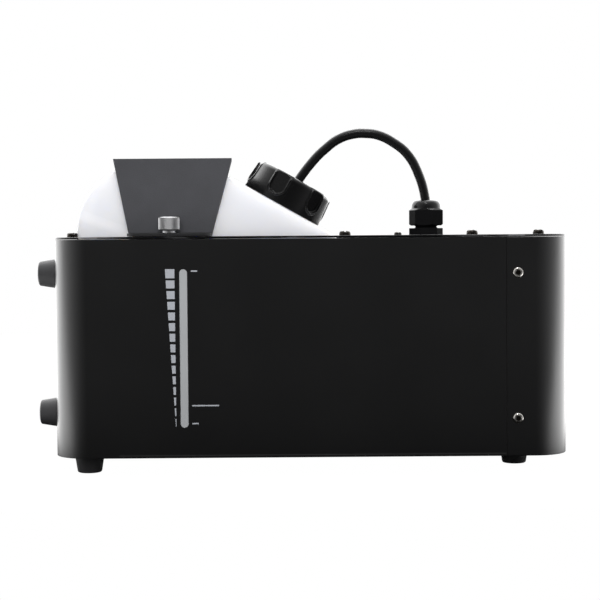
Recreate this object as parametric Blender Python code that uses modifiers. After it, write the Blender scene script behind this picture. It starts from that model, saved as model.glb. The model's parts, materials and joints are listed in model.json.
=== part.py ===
"""Fog machine: a sheet-metal case with a lift-out fluid tank, a pump, a heater and a lit nozzle.

Metres, +Z up. The origin is on the floor, under the middle of the whole machine. The long side with
the level window faces -Y, the nozzle end faces +X, and the end that carries four more feet faces -X.
"""
from math import cos, pi, radians, sin, sqrt

import bmesh
import bpy
from mathutils import Matrix, Vector

# Fits and sheet
CLEARANCE = 0.0003
SLIDE_FIT = 0.0005
SHEET = 0.0012
TOP_THICKNESS = 0.0015
BOARD = 0.0016

# Case
BODY_LENGTH = 0.348
BODY_WIDTH = 0.250
BODY_HEIGHT = 0.1485
CORNER_RADIUS = 0.024
COVER_LENGTH = 0.0433
LAP_LENGTH = 0.014
LAP_STEP = 0.002
PAN_LIP = 0.012
VENT_LENGTH = 0.050
VENT_WIDTH = 0.004
VENT_PITCH = 0.009
VENT_COUNT = 8
COVER_SCREW_FROM_SEAM = 0.0077
COVER_SCREW_FROM_EDGE = 0.0255
SCREW_HEAD = 0.0072
SCREW_HEAD_HEIGHT = 0.0022
SCREW_HEAD_EDGE = 0.0013
SCREW_HEAD_FLAT = 0.0043
SCREW_SHANK = 0.004
SCREW_LENGTH = 0.009

# Feet
FOOT_HEIGHT = 0.013
FOOT_BASE = 0.0205
FOOT_TIP = 0.0165
FOOT_CHAMFER = 0.001
FOOT_RECESS = 0.008
FOOT_RECESS_DEPTH = 0.007
LEFT_FOOT_FROM_END = 0.021
LEFT_FOOT_FROM_SIDE = 0.030
RIGHT_FOOT_FROM_END = 0.030
RIGHT_FOOT_FROM_SIDE = 0.060
END_FOOT_FROM_SIDE = 0.038
END_FOOT_FROM_TOP = 0.025
END_FOOT_FROM_BASE = 0.0275

# Level window in the front of the shell
WINDOW_FROM_LEFT = 0.089
WINDOW_BELOW_TOP = 0.0217
WINDOW_LENGTH = 0.1065
WINDOW_WIDTH = 0.0055
WINDOW_FLANGE = 0.003
WINDOW_FLANGE_THICKNESS = 0.0015

# Fluid tank, its well and its strap
TANK_FROM_LEFT = 0.018
TANK_FROM_FRONT = 0.020
TANK_LENGTH = 0.178
TANK_DEPTH = 0.084
TANK_RISE = 0.0505
TANK_WALL = 0.002
TANK_SHOULDER = 0.048
TANK_FOOT_RADIUS = 0.006
TANK_BROW_RADIUS = 0.012
TANK_CROWN_RADIUS = 0.025
TANK_EDGE = 0.006
WELL_GAP = 0.001
WELL_RIM = 0.006
WELL_ABOVE_PAN = 0.005
STRAP_FROM_LEFT = 0.0792
STRAP_TOP_WIDTH = 0.0805
STRAP_REAR_WIDTH = 0.0725
STRAP_FOOT_WIDTH = 0.0564
STRAP_LEAN = 0.0020
STRAP_THICKNESS = 0.002
STRAP_FLANGE = 0.0155
STRAP_BEND = 0.0024
STRAP_CORNER = 0.006
KNOB_DIAMETER = 0.0142
KNOB_GAP = 0.0012
KNOB_HEIGHT = 0.0107
KNOB_NECK = 0.0095
KNOB_NECK_HEIGHT = 0.0022
KNOB_RIDGES = 20
KNOB_RIDGE_DEPTH = 0.0004
KNOB_STUD = 0.005
KNOB_STUD_LENGTH = 0.014

# Neck and cap, on an axis that leans towards the nozzle end
CAP_TILT = radians(29.6)
CAP_FROM_TANK_END = 0.0421
CAP_SEAT_RISE = 0.0211
CAP_DIAMETER = 0.058
CAP_HEIGHT = 0.0205
CAP_WALL = 0.003
CAP_SKIRT = 0.0053
CAP_EDGE = 0.0025
CAP_POCKETS = 6
POCKET_WIDTH = 0.0108
POCKET_DEPTH = 0.0025
POCKET_TURN = radians(-16.5)
NECK_WALL = 0.003
SEAL_THICKNESS = 0.0016
SEAL_WIDTH = 0.008
PICKUP_DIAMETER = 0.0067
STRAINER_DIAMETER = 0.016
STRAINER_LENGTH = 0.020
STRAINER_ABOVE_FLOOR = 0.004

# Hose and the gland that it goes through. After a straight run along the cap's axis, each point of the
# arch is a share of the way to the gland and a height above the top plate
HOSE_DIAMETER = 0.0067
HOSE_PLAY = 0.0008
HOSE_STRAIGHT = 0.026
HOSE_ARCH = ((0.1230, 0.0536), (0.2035, 0.0606), (0.3174, 0.0680), (0.4382, 0.0714), (0.5296, 0.0717),
             (0.6221, 0.0705), (0.7462, 0.0651), (0.8579, 0.0566), (0.9436, 0.0424), (0.9932, 0.0262))
HOSE_STEP = 0.011
GLAND_FROM_LEFT = 0.2563
GLAND_FLATS = 0.021
GLAND_BASE_HEIGHT = 0.005
GLAND_GAP = 0.0018
GLAND_NUT_HEIGHT = 0.0121
GLAND_DOME = 0.0059
GLAND_DOME_DIAMETER = 0.0196
GLAND_THREAD = 0.016
GLAND_WALL = 0.0025
GLAND_CHAMFER = 0.0012
GLAND_BODY_TURN = radians(20)
GLAND_NUT_TURN = radians(-13)
LOCKNUT_HEIGHT = 0.005
THREAD_BELOW_PLATE = 0.009

# Pump
PUMP_BELOW_TOP = 0.045
PUMP_DIAMETER = 0.030
PUMP_LENGTH = 0.062
PUMP_BARB_LENGTH = 0.012
PUMP_BARB = 0.009
COIL_SIZE = 0.046
COIL_LENGTH = 0.038
COIL_BELOW_PUMP_TOP = 0.014
BRACKET_WIDTH = 0.030
BRACKET_FOOT = 0.016
FEED_TUBE = 0.004

# Heater
HEATER_FROM_LEFT = 0.044
HEATER_LENGTH = 0.190
HEATER_WIDTH = 0.062
HEATER_HEIGHT = 0.052
HEATER_FROM_REAR = 0.040
HEATER_EDGE = 0.008
PORT_DIAMETER = 0.010
PORT_LENGTH = 0.005
JACKET_GAP = 0.006
HEATER_BRACKET_FROM_END = 0.025
HEATER_BRACKET_WIDTH = 0.016
THERMOSTAT_DIAMETER = 0.016
THERMOSTAT_HEIGHT = 0.008

# Nozzle and its lamps
NOZZLE_DIAMETER = 0.020
NOZZLE_BORE = 0.003
NOZZLE_MOUTH = 0.009
NOZZLE_LIP = 0.013
NOZZLE_LENGTH = 0.030
NOZZLE_HOLE = 0.030
OUTLET_PIPE = 0.008
LAMP_COUNT = 12
LAMP_RING = 0.038
LAMP_LENS = 0.011
LAMP_LENS_TIP = 0.0088
LENS_PLATE_THICKNESS = 0.002
LAMP_PLATE_WIDTH = 0.024
LAMP_SPACER = 0.004

# Controls on the rear side
PANEL_FROM_SEAM = 0.006
PANEL_LENGTH = 0.094
PANEL_HEIGHT = 0.040
PANEL_THICKNESS = 0.0015
PANEL_BORDER = 0.004
PANEL_BELOW_TOP = 0.022
DISPLAY_LENGTH = 0.042
DISPLAY_HEIGHT = 0.018
BUTTON_DIAMETER = 0.009
BUTTON_STANDS = 0.003
BUTTON_TRAVEL = 0.001
BUTTON_FLANGE = 0.0014
BUTTON_FLANGE_WIDTH = 0.0015
BUTTON_PITCH = 0.016
SOCKET_FROM_PANEL = 0.005
SOCKET_PITCH = 0.034
SOCKET_BELOW_TOP = 0.045
SOCKET_FLANGE_WIDTH = 0.026
SOCKET_FLANGE_HEIGHT = 0.031
SOCKET_FLANGE_THICKNESS = 0.0025
SOCKET_SHELL = 0.0225
SOCKET_CORE = 0.016
SOCKET_WALL = 0.0015
SOCKET_PIN = 0.0024
SOCKET_DEPTH = 0.022
SOCKET_CAVITY = 0.013
INLET_FROM_SEAM = 0.052
INLET_ABOVE_PAN = 0.045
INLET_WIDTH = 0.048
INLET_HEIGHT = 0.028
INLET_MOUTH_WIDTH = 0.0245
INLET_MOUTH_HEIGHT = 0.0165
INLET_CHAMFER = 0.005
INLET_WALL = 0.0012
INLET_FLANGE = 0.0025
INLET_DEPTH = 0.022
INLET_CAVITY = 0.016
INLET_PIN = 0.004
INLET_PIN_PITCH = 0.007
INLET_PIN_OFFSET = 0.0025
SWITCH_FROM_SEAM = 0.095
SWITCH_WIDTH = 0.021
SWITCH_HEIGHT = 0.030
SWITCH_BEZEL = 0.002
SWITCH_WALL = 0.0015
SWITCH_BEZEL_THICKNESS = 0.002
SWITCH_DEPTH = 0.020
ROCKER_TILT = radians(10)
FUSE_FROM_SEAM = 0.016
FUSE_WALL = 0.002
FUSE_CAP_DIAMETER = 0.0125
FUSE_CAP_HEIGHT = 0.0055
FUSE_FLANGE = 0.0015
FUSE_DEPTH = 0.030
MAIN_BOARD_FROM_LEFT = 0.030
MAIN_BOARD_FROM_SOCKET = 0.009
MAIN_BOARD_HEIGHT = 0.070
MAIN_BOARD_ABOVE_PAN = 0.040
BOARD_POST = 0.006

# Places worked out from the sizes above
LEFT = -BODY_LENGTH / 2
RIGHT = BODY_LENGTH / 2
FRONT = -BODY_WIDTH / 2
REAR = BODY_WIDTH / 2
BASE_Z = FOOT_HEIGHT + CLEARANCE
TOP_Z = BASE_Z + BODY_HEIGHT
PLATE_UNDER = TOP_Z - TOP_THICKNESS
SHELL_TOP = PLATE_UNDER - CLEARANCE
PAN_TOP = BASE_Z + SHEET
SEAM_X = RIGHT - COVER_LENGTH
MIDDLE_Z = (BASE_Z + TOP_Z) / 2
TANK_X0 = LEFT + TANK_FROM_LEFT
TANK_X1 = TANK_X0 + TANK_LENGTH
TANK_Y0 = FRONT + TANK_FROM_FRONT
TANK_Y1 = TANK_Y0 + TANK_DEPTH
TANK_Y = (TANK_Y0 + TANK_Y1) / 2
WELL_FLOOR = PAN_TOP + WELL_ABOVE_PAN
TANK_BOTTOM = WELL_FLOOR + SHEET + CLEARANCE
TANK_TOP = TOP_Z + TANK_RISE
STRAP_X = LEFT + STRAP_FROM_LEFT
STRAP_BASE = TOP_Z + CLEARANCE
CAP_SEAT = Vector((TANK_X1 - CAP_FROM_TANK_END, TANK_Y, TOP_Z + CAP_SEAT_RISE))
CAP_AXIS = Vector((sin(CAP_TILT), 0, cos(CAP_TILT)))
CAP_TURN = (0, CAP_TILT, 0)
CAP_INNER_TOP = CAP_HEIGHT - CAP_WALL
CAP_BORE = CAP_DIAMETER / 2 - POCKET_DEPTH - CAP_WALL
NECK_RADIUS = CAP_BORE - SLIDE_FIT
NECK_HEIGHT = CAP_INNER_TOP - SEAL_THICKNESS - 2 * CLEARANCE
HOSE_START = NECK_HEIGHT - CAP_SKIRT
GLAND_X = LEFT + GLAND_FROM_LEFT
GLAND_BASE = TOP_Z + CLEARANCE
PUMP_INLET = TOP_Z - PUMP_BELOW_TOP
PUMP_TOP = PUMP_INLET - PUMP_BARB_LENGTH
PUMP_FOOT = PUMP_TOP - PUMP_LENGTH
HEATER_X0 = LEFT + HEATER_FROM_LEFT
HEATER_X1 = HEATER_X0 + HEATER_LENGTH
HEATER_Y = REAR - HEATER_FROM_REAR - HEATER_WIDTH / 2
REAR_INSIDE = REAR - SHEET
PANEL_X = SEAM_X - PANEL_FROM_SEAM - PANEL_LENGTH / 2
SIGNAL_OUT_X = PANEL_X - PANEL_LENGTH / 2 - SOCKET_FROM_PANEL - SOCKET_FLANGE_WIDTH / 2
SIGNAL_IN_X = SIGNAL_OUT_X - SOCKET_PITCH
INLET_X = SEAM_X - INLET_FROM_SEAM
SWITCH_X = SEAM_X - SWITCH_FROM_SEAM
FUSE_X = SEAM_X - FUSE_FROM_SEAM
MAIN_BOARD_X0 = LEFT + MAIN_BOARD_FROM_LEFT
MAIN_BOARD_X1 = SIGNAL_IN_X - SOCKET_FLANGE_WIDTH / 2 - MAIN_BOARD_FROM_SOCKET
FEED_PORT = Vector((HEATER_X1 + PORT_LENGTH, HEATER_Y - HEATER_WIDTH / 4, MIDDLE_Z - HEATER_HEIGHT / 4))
OUTLET_PORT = Vector((HEATER_X1 + PORT_LENGTH, HEATER_Y - HEATER_WIDTH / 4, MIDDLE_Z + HEATER_HEIGHT / 5))
LEFT_STANDS = CLEARANCE + FOOT_HEIGHT
FRONT_STANDS = CLEARANCE + SCREW_HEAD_HEIGHT
REAR_STANDS = CLEARANCE + FUSE_FLANGE + FUSE_CAP_HEIGHT
CASE_MIDDLE = Vector((LEFT_STANDS / 2, (FRONT_STANDS - REAR_STANDS) / 2, 0))


def clear_scene():
    """Remove whatever the scene holds before the model is made."""
    for item in list(bpy.data.objects):
        bpy.data.objects.remove(item, do_unlink=True)


def make_collection(name):
    """Add a collection to the scene."""
    group = bpy.data.collections.new(name)
    bpy.context.scene.collection.children.link(group)
    return group


clear_scene()
PARTS = make_collection("fog_machine")
CUTTERS = make_collection("cutters")


def make_material(name, color, roughness, metallic=0.0):
    """A Principled material with one colour."""
    material = bpy.data.materials.new(name)
    material.use_nodes = True
    shader = material.node_tree.nodes["Principled BSDF"]
    shader.inputs["Base Color"].default_value = (*color, 1.0)
    shader.inputs["Roughness"].default_value = roughness
    shader.inputs["Metallic"].default_value = metallic
    return material


PAINT = make_material("black_paint", (0.012, 0.012, 0.013), 0.45)
TEXTURED_PAINT = make_material("textured_paint", (0.03, 0.03, 0.032), 0.7)
RUBBER = make_material("rubber", (0.015, 0.015, 0.015), 0.8)
TANK_PLASTIC = make_material("tank_plastic", (0.85, 0.85, 0.83), 0.45)
CAP_PLASTIC = make_material("cap_plastic", (0.02, 0.02, 0.02), 0.5)
HOSE_RUBBER = make_material("hose_rubber", (0.012, 0.012, 0.012), 0.4)
GLAND_NYLON = make_material("gland_nylon", (0.02, 0.02, 0.02), 0.45)
STEEL = make_material("bright_steel", (0.6, 0.6, 0.58), 0.3, 1.0)
ZINC = make_material("zinc_plate", (0.5, 0.5, 0.48), 0.4, 1.0)
ALUMINIUM = make_material("cast_aluminium", (0.55, 0.55, 0.55), 0.5, 1.0)
BRASS = make_material("brass", (0.6, 0.43, 0.16), 0.3, 1.0)
COPPER = make_material("copper", (0.7, 0.33, 0.2), 0.35, 1.0)
BOARD_GREEN = make_material("circuit_board", (0.02, 0.15, 0.06), 0.5)
CLEAR_PLASTIC = make_material("clear_plastic", (0.8, 0.8, 0.8), 0.15)
BLACK_PLASTIC = make_material("black_plastic", (0.02, 0.02, 0.02), 0.5)
WINDOW_PLASTIC = make_material("window_plastic", (0.45, 0.45, 0.45), 0.4)
SEAL_RUBBER = make_material("seal_rubber", (0.5, 0.5, 0.48), 0.7)


def finish_mesh(name, shape):
    """Turn a bmesh into a mesh, shaded smooth apart from its sharp edges."""
    mesh = bpy.data.meshes.new(name)
    shape.to_mesh(mesh)
    shape.free()
    mesh.shade_smooth()
    mesh.set_sharp_from_angle(angle=radians(35))
    return mesh


def add_part(name, data, material):
    """Link a mesh or a curve as a named sub-part with its material."""
    part = bpy.data.objects.new(name, data)
    data.materials.append(material)
    PARTS.objects.link(part)
    return part


def add_tool(name, shape):
    """Link a bmesh as a hidden solid that cuts a part or is joined to it."""
    tool = bpy.data.objects.new(name, finish_mesh(name, shape))
    tool.hide_render = True
    tool.display_type = 'WIRE'
    CUTTERS.objects.link(tool)
    return tool


def combine(part, tool, operation):
    """Add a Boolean modifier, with the tool in the part's own frame."""
    tool.location = part.location
    tool.rotation_euler = part.rotation_euler
    step = part.modifiers.new(tool.name, 'BOOLEAN')
    step.object = tool
    step.operation = operation
    return step


def cut(part, name, shape):
    """Cut a bmesh out of a part."""
    combine(part, add_tool(name, shape), 'DIFFERENCE')


def join(part, name, shape):
    """Join a bmesh to a part."""
    combine(part, add_tool(name, shape), 'UNION')


def round_edges(part, width, segments=2, angle=40):
    """Round the sharp edges of a part with a Bevel modifier."""
    step = part.modifiers.new("rounded", 'BEVEL')
    step.width = width
    step.segments = segments
    step.limit_method = 'ANGLE'
    step.angle_limit = radians(angle)
    return step


def thicken(part, thickness, offset=-1.0):
    """Give an open surface its sheet thickness."""
    step = part.modifiers.new("sheet", 'SOLIDIFY')
    step.thickness = thickness
    step.offset = offset
    step.use_even_offset = True
    return step


def box(shape, low, high):
    """Add a box between two opposite corners."""
    low, high = Vector(low), Vector(high)
    size = high - low
    place = Matrix.Translation((low + high) / 2) @ Matrix.Diagonal((*size, 1.0))
    return bmesh.ops.create_cube(shape, size=1.0, matrix=place)["verts"]


def rod(shape, start, end, diameter, tip=None, segments=20):
    """Add a cylinder, or a cone with another diameter at its tip, between two points."""
    start, end = Vector(start), Vector(end)
    run = end - start
    place = Matrix.Translation((start + end) / 2) @ run.to_track_quat('Z', 'Y').to_matrix().to_4x4()
    tip = diameter if tip is None else tip
    made = bmesh.ops.create_cone(shape, cap_ends=True, segments=segments, radius1=diameter / 2,
                                 radius2=tip / 2, depth=run.length, matrix=place)
    return made["verts"]


def arc(center, radius, first, last, steps):
    """Points on an arc in a plane, from one angle to another in degrees."""
    angles = [radians(first + (last - first) * i / steps) for i in range(steps + 1)]
    return [(center[0] + radius * cos(a), center[1] + radius * sin(a)) for a in angles]


def rounded_rectangle(low, high, radius, steps=8):
    """Outline of a rectangle with round corners, anticlockwise."""
    (x0, y0), (x1, y1) = low, high
    return (arc((x1 - radius, y0 + radius), radius, -90, 0, steps)
            + arc((x1 - radius, y1 - radius), radius, 0, 90, steps)
            + arc((x0 + radius, y1 - radius), radius, 90, 180, steps)
            + arc((x0 + radius, y0 + radius), radius, 180, 270, steps))


def flat_face(shape, outline, height):
    """Add one flat face, looking up, on an anticlockwise outline."""
    corners = [shape.verts.new((x, y, height)) for x, y in outline]
    return shape.faces.new(corners)


def prism(shape, outline, low, high):
    """Add a solid between two heights on an anticlockwise outline."""
    face = flat_face(shape, outline, low)
    made = bmesh.ops.extrude_face_region(shape, geom=[face])["geom"]
    raised = [item for item in made if isinstance(item, bmesh.types.BMVert)]
    bmesh.ops.translate(shape, verts=raised, vec=(0, 0, high - low))
    face.normal_flip()
    bmesh.ops.recalc_face_normals(shape, faces=shape.faces)
    return raised


def hexagon(flats, turn=0.0):
    """Outline of a hexagon from its size across flats."""
    radius = flats / sqrt(3)
    return [(radius * cos(turn + i * pi / 3), radius * sin(turn + i * pi / 3)) for i in range(6)]


def turned(name, profile, material, steps=20):
    """A turned part: a closed profile of (radius, height) points, whose outer side runs down."""
    shape = bmesh.new()
    points = [shape.verts.new((radius, 0, height)) for radius, height in profile]
    for first, second in zip(points, points[1:] + points[:1]):
        if max(first.co.x, second.co.x) > 0:
            shape.edges.new((first, second))
    part = add_part(name, finish_mesh(name, shape), material)
    step = part.modifiers.new("turned", 'SCREW')
    step.steps = steps
    step.render_steps = steps
    step.use_merge_vertices = True
    step.merge_threshold = 0.00001
    return part


def wall(name, path, low, high, material):
    """A folded sheet wall: a path seen from above, raised between two heights, with its outer side
    on the right of the path, and its thickness inside."""
    shape = bmesh.new()
    points = [shape.verts.new((x, y, low)) for x, y in path]
    edges = [shape.edges.new(pair) for pair in zip(points, points[1:])]
    made = bmesh.ops.extrude_edge_only(shape, edges=edges)["geom"]
    raised = [item for item in made if isinstance(item, bmesh.types.BMVert)]
    bmesh.ops.translate(shape, verts=raised, vec=(0, 0, high - low))
    order = {vert: index for index, vert in enumerate(points)}
    shape.normal_update()
    for face in shape.faces:
        first, second = sorted((vert for vert in face.verts if vert in order), key=order.get)
        if face.normal.dot((second.co - first.co).cross(Vector((0, 0, 1)))) < 0:
            face.normal_flip()
    part = add_part(name, finish_mesh(name, shape), material)
    thicken(part, SHEET)
    return part


def obround(shape, center, width, length, depth):
    """Add an upright slot shape with round ends, which runs along Y."""
    x, y, z = center
    half = (length - width) / 2
    outline = arc((x, z + half), width / 2, 0, 180, 10) + arc((x, z - half), width / 2, 180, 360, 10)
    made = prism(shape, outline, -depth / 2, depth / 2)
    around = set(made)
    for vert in made:
        for edge in vert.link_edges:
            around.update(edge.verts)
    turn = Matrix(((1, 0, 0, 0), (0, 0, -1, y), (0, 1, 0, 0), (0, 0, 0, 1)))
    bmesh.ops.transform(shape, matrix=turn, verts=list(around))


def window_center(y):
    """Middle of the level window, at a given depth."""
    return (LEFT + WINDOW_FROM_LEFT, y, TOP_Z - WINDOW_BELOW_TOP - WINDOW_LENGTH / 2)


def make_side_shell():
    """One sheet that wraps the front, the left end and the rear, with a stepped lap at each seam."""
    inner = FRONT + SHEET + CLEARANCE
    edge = SEAM_X - CLEARANCE
    front_run = [(edge + LAP_LENGTH, inner), (edge, inner), (edge - LAP_STEP, FRONT)]
    front_corner = arc((LEFT + CORNER_RADIUS, FRONT + CORNER_RADIUS), CORNER_RADIUS, 270, 180, 8)
    half = front_run + front_corner
    path = half + [(x, -y) for x, y in reversed(half)]
    path.reverse()
    shell = wall("side_shell", path, BASE_Z, SHELL_TOP, PAINT)
    holes = bmesh.new()
    obround(holes, window_center(FRONT), WINDOW_WIDTH, WINDOW_LENGTH, 4 * SHEET)
    control_holes(holes)
    for offset in vent_offsets():
        y = HEATER_Y + offset
        box(holes, (LEFT - SHEET, y - VENT_WIDTH / 2, MIDDLE_Z - VENT_LENGTH / 2),
            (LEFT + 2 * SHEET, y + VENT_WIDTH / 2, MIDDLE_Z + VENT_LENGTH / 2))
    for x, z, side in cover_screw_places():
        rod(holes, (x, side * (REAR - 4 * SHEET), z), (x, side * (REAR + SHEET), z),
            SCREW_SHANK + 2 * CLEARANCE, segments=16)
    cut(shell, "shell_holes", holes)


def vent_offsets():
    """Places of the vent slots across their row."""
    return [(index - (VENT_COUNT - 1) / 2) * VENT_PITCH for index in range(VENT_COUNT)]


def cover_screw_places():
    """Height, place along the case and side of each screw that holds the end cover."""
    x = SEAM_X + COVER_SCREW_FROM_SEAM
    heights = (TOP_Z - COVER_SCREW_FROM_EDGE, BASE_Z + COVER_SCREW_FROM_EDGE)
    return [(x, z, side) for side in (-1, 1) for z in heights]


def make_end_cover():
    """The nozzle end: a sheet that turns both corners and meets the shell at the seams."""
    center_x = RIGHT - CORNER_RADIUS
    corner = arc((center_x, FRONT + CORNER_RADIUS), CORNER_RADIUS, 270, 360, 8)
    half = [(SEAM_X + CLEARANCE, FRONT)] + corner
    path = half + [(x, -y) for x, y in reversed(half)]
    cover = wall("end_cover", path, BASE_Z, SHELL_TOP, PAINT)
    holes = bmesh.new()
    rod(holes, (RIGHT - 4 * SHEET, 0, MIDDLE_Z), (RIGHT + SHEET, 0, MIDDLE_Z), NOZZLE_HOLE)
    for y, z in lamp_places():
        rod(holes, (RIGHT - 4 * SHEET, y, z), (RIGHT + SHEET, y, z), LAMP_LENS + 2 * CLEARANCE, segments=10)
    for x, z, side in cover_screw_places():
        rod(holes, (x, side * (REAR - 2 * SHEET), z), (x, side * (REAR + SHEET), z),
            SCREW_SHANK + 2 * CLEARANCE, segments=16)
    cut(cover, "cover_holes", holes)


def make_cover_screws():
    """Pan head screws through the end cover into the laps of the shell."""
    names = ("front_upper", "front_lower", "rear_upper", "rear_lower")
    for name, (x, z, side) in zip(names, cover_screw_places()):
        under, top = CLEARANCE, CLEARANCE + SCREW_HEAD_HEIGHT
        head, shank = SCREW_HEAD / 2, SCREW_SHANK / 2
        profile = [(0, top), (SCREW_HEAD_FLAT / 2, top), (head, under + SCREW_HEAD_EDGE), (head, under),
                   (shank, under), (shank, -SCREW_LENGTH), (0, -SCREW_LENGTH)]
        screw = turned("cover_screw_" + name, profile, ZINC, 12)
        screw.location = (x, side * REAR, z)
        screw.rotation_euler = (radians(-90) * side, 0, 0)


def make_base_pan():
    """Floor of the case: a tray with an upturned lip inside the shell, and vents under the heater."""
    shape = bmesh.new()
    inset = SHEET + CLEARANCE
    lap_inset = 2 * inset
    outline = rounded_rectangle((LEFT + inset, FRONT + lap_inset), (RIGHT - inset, REAR - lap_inset),
                                CORNER_RADIUS - inset, 6)
    floor = flat_face(shape, outline, BASE_Z)
    floor.normal_flip()
    rim = bmesh.ops.extrude_edge_only(shape, edges=list(floor.edges))["geom"]
    raised = [item for item in rim if isinstance(item, bmesh.types.BMVert)]
    bmesh.ops.translate(shape, verts=raised, vec=(0, 0, PAN_LIP))
    bmesh.ops.recalc_face_normals(shape, faces=shape.faces)
    if floor.normal.z > 0:
        bmesh.ops.reverse_faces(shape, faces=shape.faces)
    pan = add_part("base_pan", finish_mesh("base_pan", shape), PAINT)
    thicken(pan, SHEET)
    holes = bmesh.new()
    for offset in vent_offsets():
        x = (HEATER_X0 + HEATER_X1) / 2 + offset
        box(holes, (x - VENT_WIDTH / 2, HEATER_Y - VENT_LENGTH / 2, BASE_Z - SHEET),
            (x + VENT_WIDTH / 2, HEATER_Y + VENT_LENGTH / 2, PAN_TOP + SHEET))
    cut(pan, "pan_vents", holes)


def make_top_plate():
    """Lid of the case, open over the tank well, with holes for the gland and the strap's screws."""
    shape = bmesh.new()
    outline = rounded_rectangle((LEFT, FRONT), (RIGHT, REAR), CORNER_RADIUS)
    prism(shape, outline, PLATE_UNDER, TOP_Z)
    plate = add_part("top_plate", finish_mesh("top_plate", shape), PAINT)
    holes = bmesh.new()
    low, high = well_corners()
    prism(holes, rounded_rectangle(low, high, TANK_EDGE, 5), PLATE_UNDER - SHEET, TOP_Z + SHEET)
    rod(holes, (GLAND_X, TANK_Y, PLATE_UNDER - SHEET), (GLAND_X, TANK_Y, TOP_Z + SHEET),
        GLAND_THREAD + 2 * CLEARANCE)
    for y in knob_places():
        rod(holes, (STRAP_X, y, PLATE_UNDER - SHEET), (STRAP_X, y, TOP_Z + SHEET),
            KNOB_STUD + 2 * SLIDE_FIT)
    cut(plate, "plate_holes", holes)


def make_foot(name, place, turn):
    """A tapered rubber foot with a screw recess in its tip, which points along -Z before its turn."""
    base, tip, recess = FOOT_BASE / 2, FOOT_TIP / 2, FOOT_RECESS / 2
    profile = [(0, FOOT_HEIGHT), (base, FOOT_HEIGHT), (base, FOOT_HEIGHT - FOOT_CHAMFER),
               (tip, FOOT_CHAMFER), (tip - FOOT_CHAMFER, 0), (recess, 0),
               (recess, FOOT_RECESS_DEPTH), (0, FOOT_RECESS_DEPTH)]
    foot = turned(name, profile, RUBBER, 14)
    foot.location = place
    foot.rotation_euler = turn
    return foot


def make_feet():
    """Four feet under the base, and four on the left end for standing the machine upright."""
    for side, label in ((-1, "front"), (1, "rear")):
        x = LEFT + LEFT_FOOT_FROM_END
        make_foot("base_foot_left_" + label, (x, side * (REAR - LEFT_FOOT_FROM_SIDE), 0), (0, 0, 0))
        x = RIGHT - RIGHT_FOOT_FROM_END
        make_foot("base_foot_right_" + label, (x, side * (REAR - RIGHT_FOOT_FROM_SIDE), 0), (0, 0, 0))
        for z, level in ((TOP_Z - END_FOOT_FROM_TOP, "upper"), (BASE_Z + END_FOOT_FROM_BASE, "lower")):
            place = (LEFT - CLEARANCE - FOOT_HEIGHT, side * (REAR - END_FOOT_FROM_SIDE), z)
            make_foot("end_foot_" + level + "_" + label, place, (0, radians(90), 0))


def well_corners():
    """Corners of the opening that the tank drops into."""
    return ((TANK_X0 - WELL_GAP, TANK_Y0 - WELL_GAP), (TANK_X1 + WELL_GAP, TANK_Y1 + WELL_GAP))


def make_tank_well():
    """Sheet well that hangs from the top plate by its rim and carries the tank."""
    shape = bmesh.new()
    low, high = well_corners()
    floor = flat_face(shape, rounded_rectangle(low, high, TANK_EDGE, 5), WELL_FLOOR + SHEET)
    edges = list(floor.edges)
    made = bmesh.ops.extrude_edge_only(shape, edges=edges)["geom"]
    raised = [item for item in made if isinstance(item, bmesh.types.BMVert)]
    bmesh.ops.translate(shape, verts=raised, vec=(0, 0, SHELL_TOP - WELL_FLOOR - SHEET))
    brim = [edge for edge in shape.edges if edge.is_boundary]
    made = bmesh.ops.extrude_edge_only(shape, edges=brim)["geom"]
    outer = [item for item in made if isinstance(item, bmesh.types.BMVert)]
    middle = Vector(((low[0] + high[0]) / 2, (low[1] + high[1]) / 2, 0))
    spread = Vector(((high[0] - low[0]) / 2, (high[1] - low[1]) / 2, 0))
    for vert in outer:
        offset = vert.co - middle
        vert.co.x += WELL_RIM * offset.x / spread.x
        vert.co.y += WELL_RIM * offset.y / spread.y
    bmesh.ops.recalc_face_normals(shape, faces=shape.faces)
    if floor.normal.z < 0:
        bmesh.ops.reverse_faces(shape, faces=shape.faces)
    well = add_part("tank_well", finish_mesh("tank_well", shape), ZINC)
    thicken(well, SHEET)
    hole = bmesh.new()
    obround(hole, window_center(low[1]), WINDOW_WIDTH + 2 * WINDOW_FLANGE,
            WINDOW_LENGTH + 2 * WINDOW_FLANGE, 6 * SHEET)
    cut(well, "well_slot", hole)


def make_level_window():
    """Milky strip that fills the slot, with a flange behind the shell."""
    shape = bmesh.new()
    back = FRONT + SHEET + CLEARANCE
    depth = back - FRONT + WINDOW_FLANGE_THICKNESS / 2
    obround(shape, window_center(FRONT + depth / 2), WINDOW_WIDTH - 2 * CLEARANCE,
            WINDOW_LENGTH - 2 * CLEARANCE, depth)
    window = add_part("level_window", finish_mesh("level_window", shape), WINDOW_PLASTIC)
    flange = bmesh.new()
    obround(flange, window_center(back + WINDOW_FLANGE_THICKNESS / 2), WINDOW_WIDTH + 2 * WINDOW_FLANGE,
            WINDOW_LENGTH + 2 * WINDOW_FLANGE, WINDOW_FLANGE_THICKNESS)
    join(window, "window_flange", flange)


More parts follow.
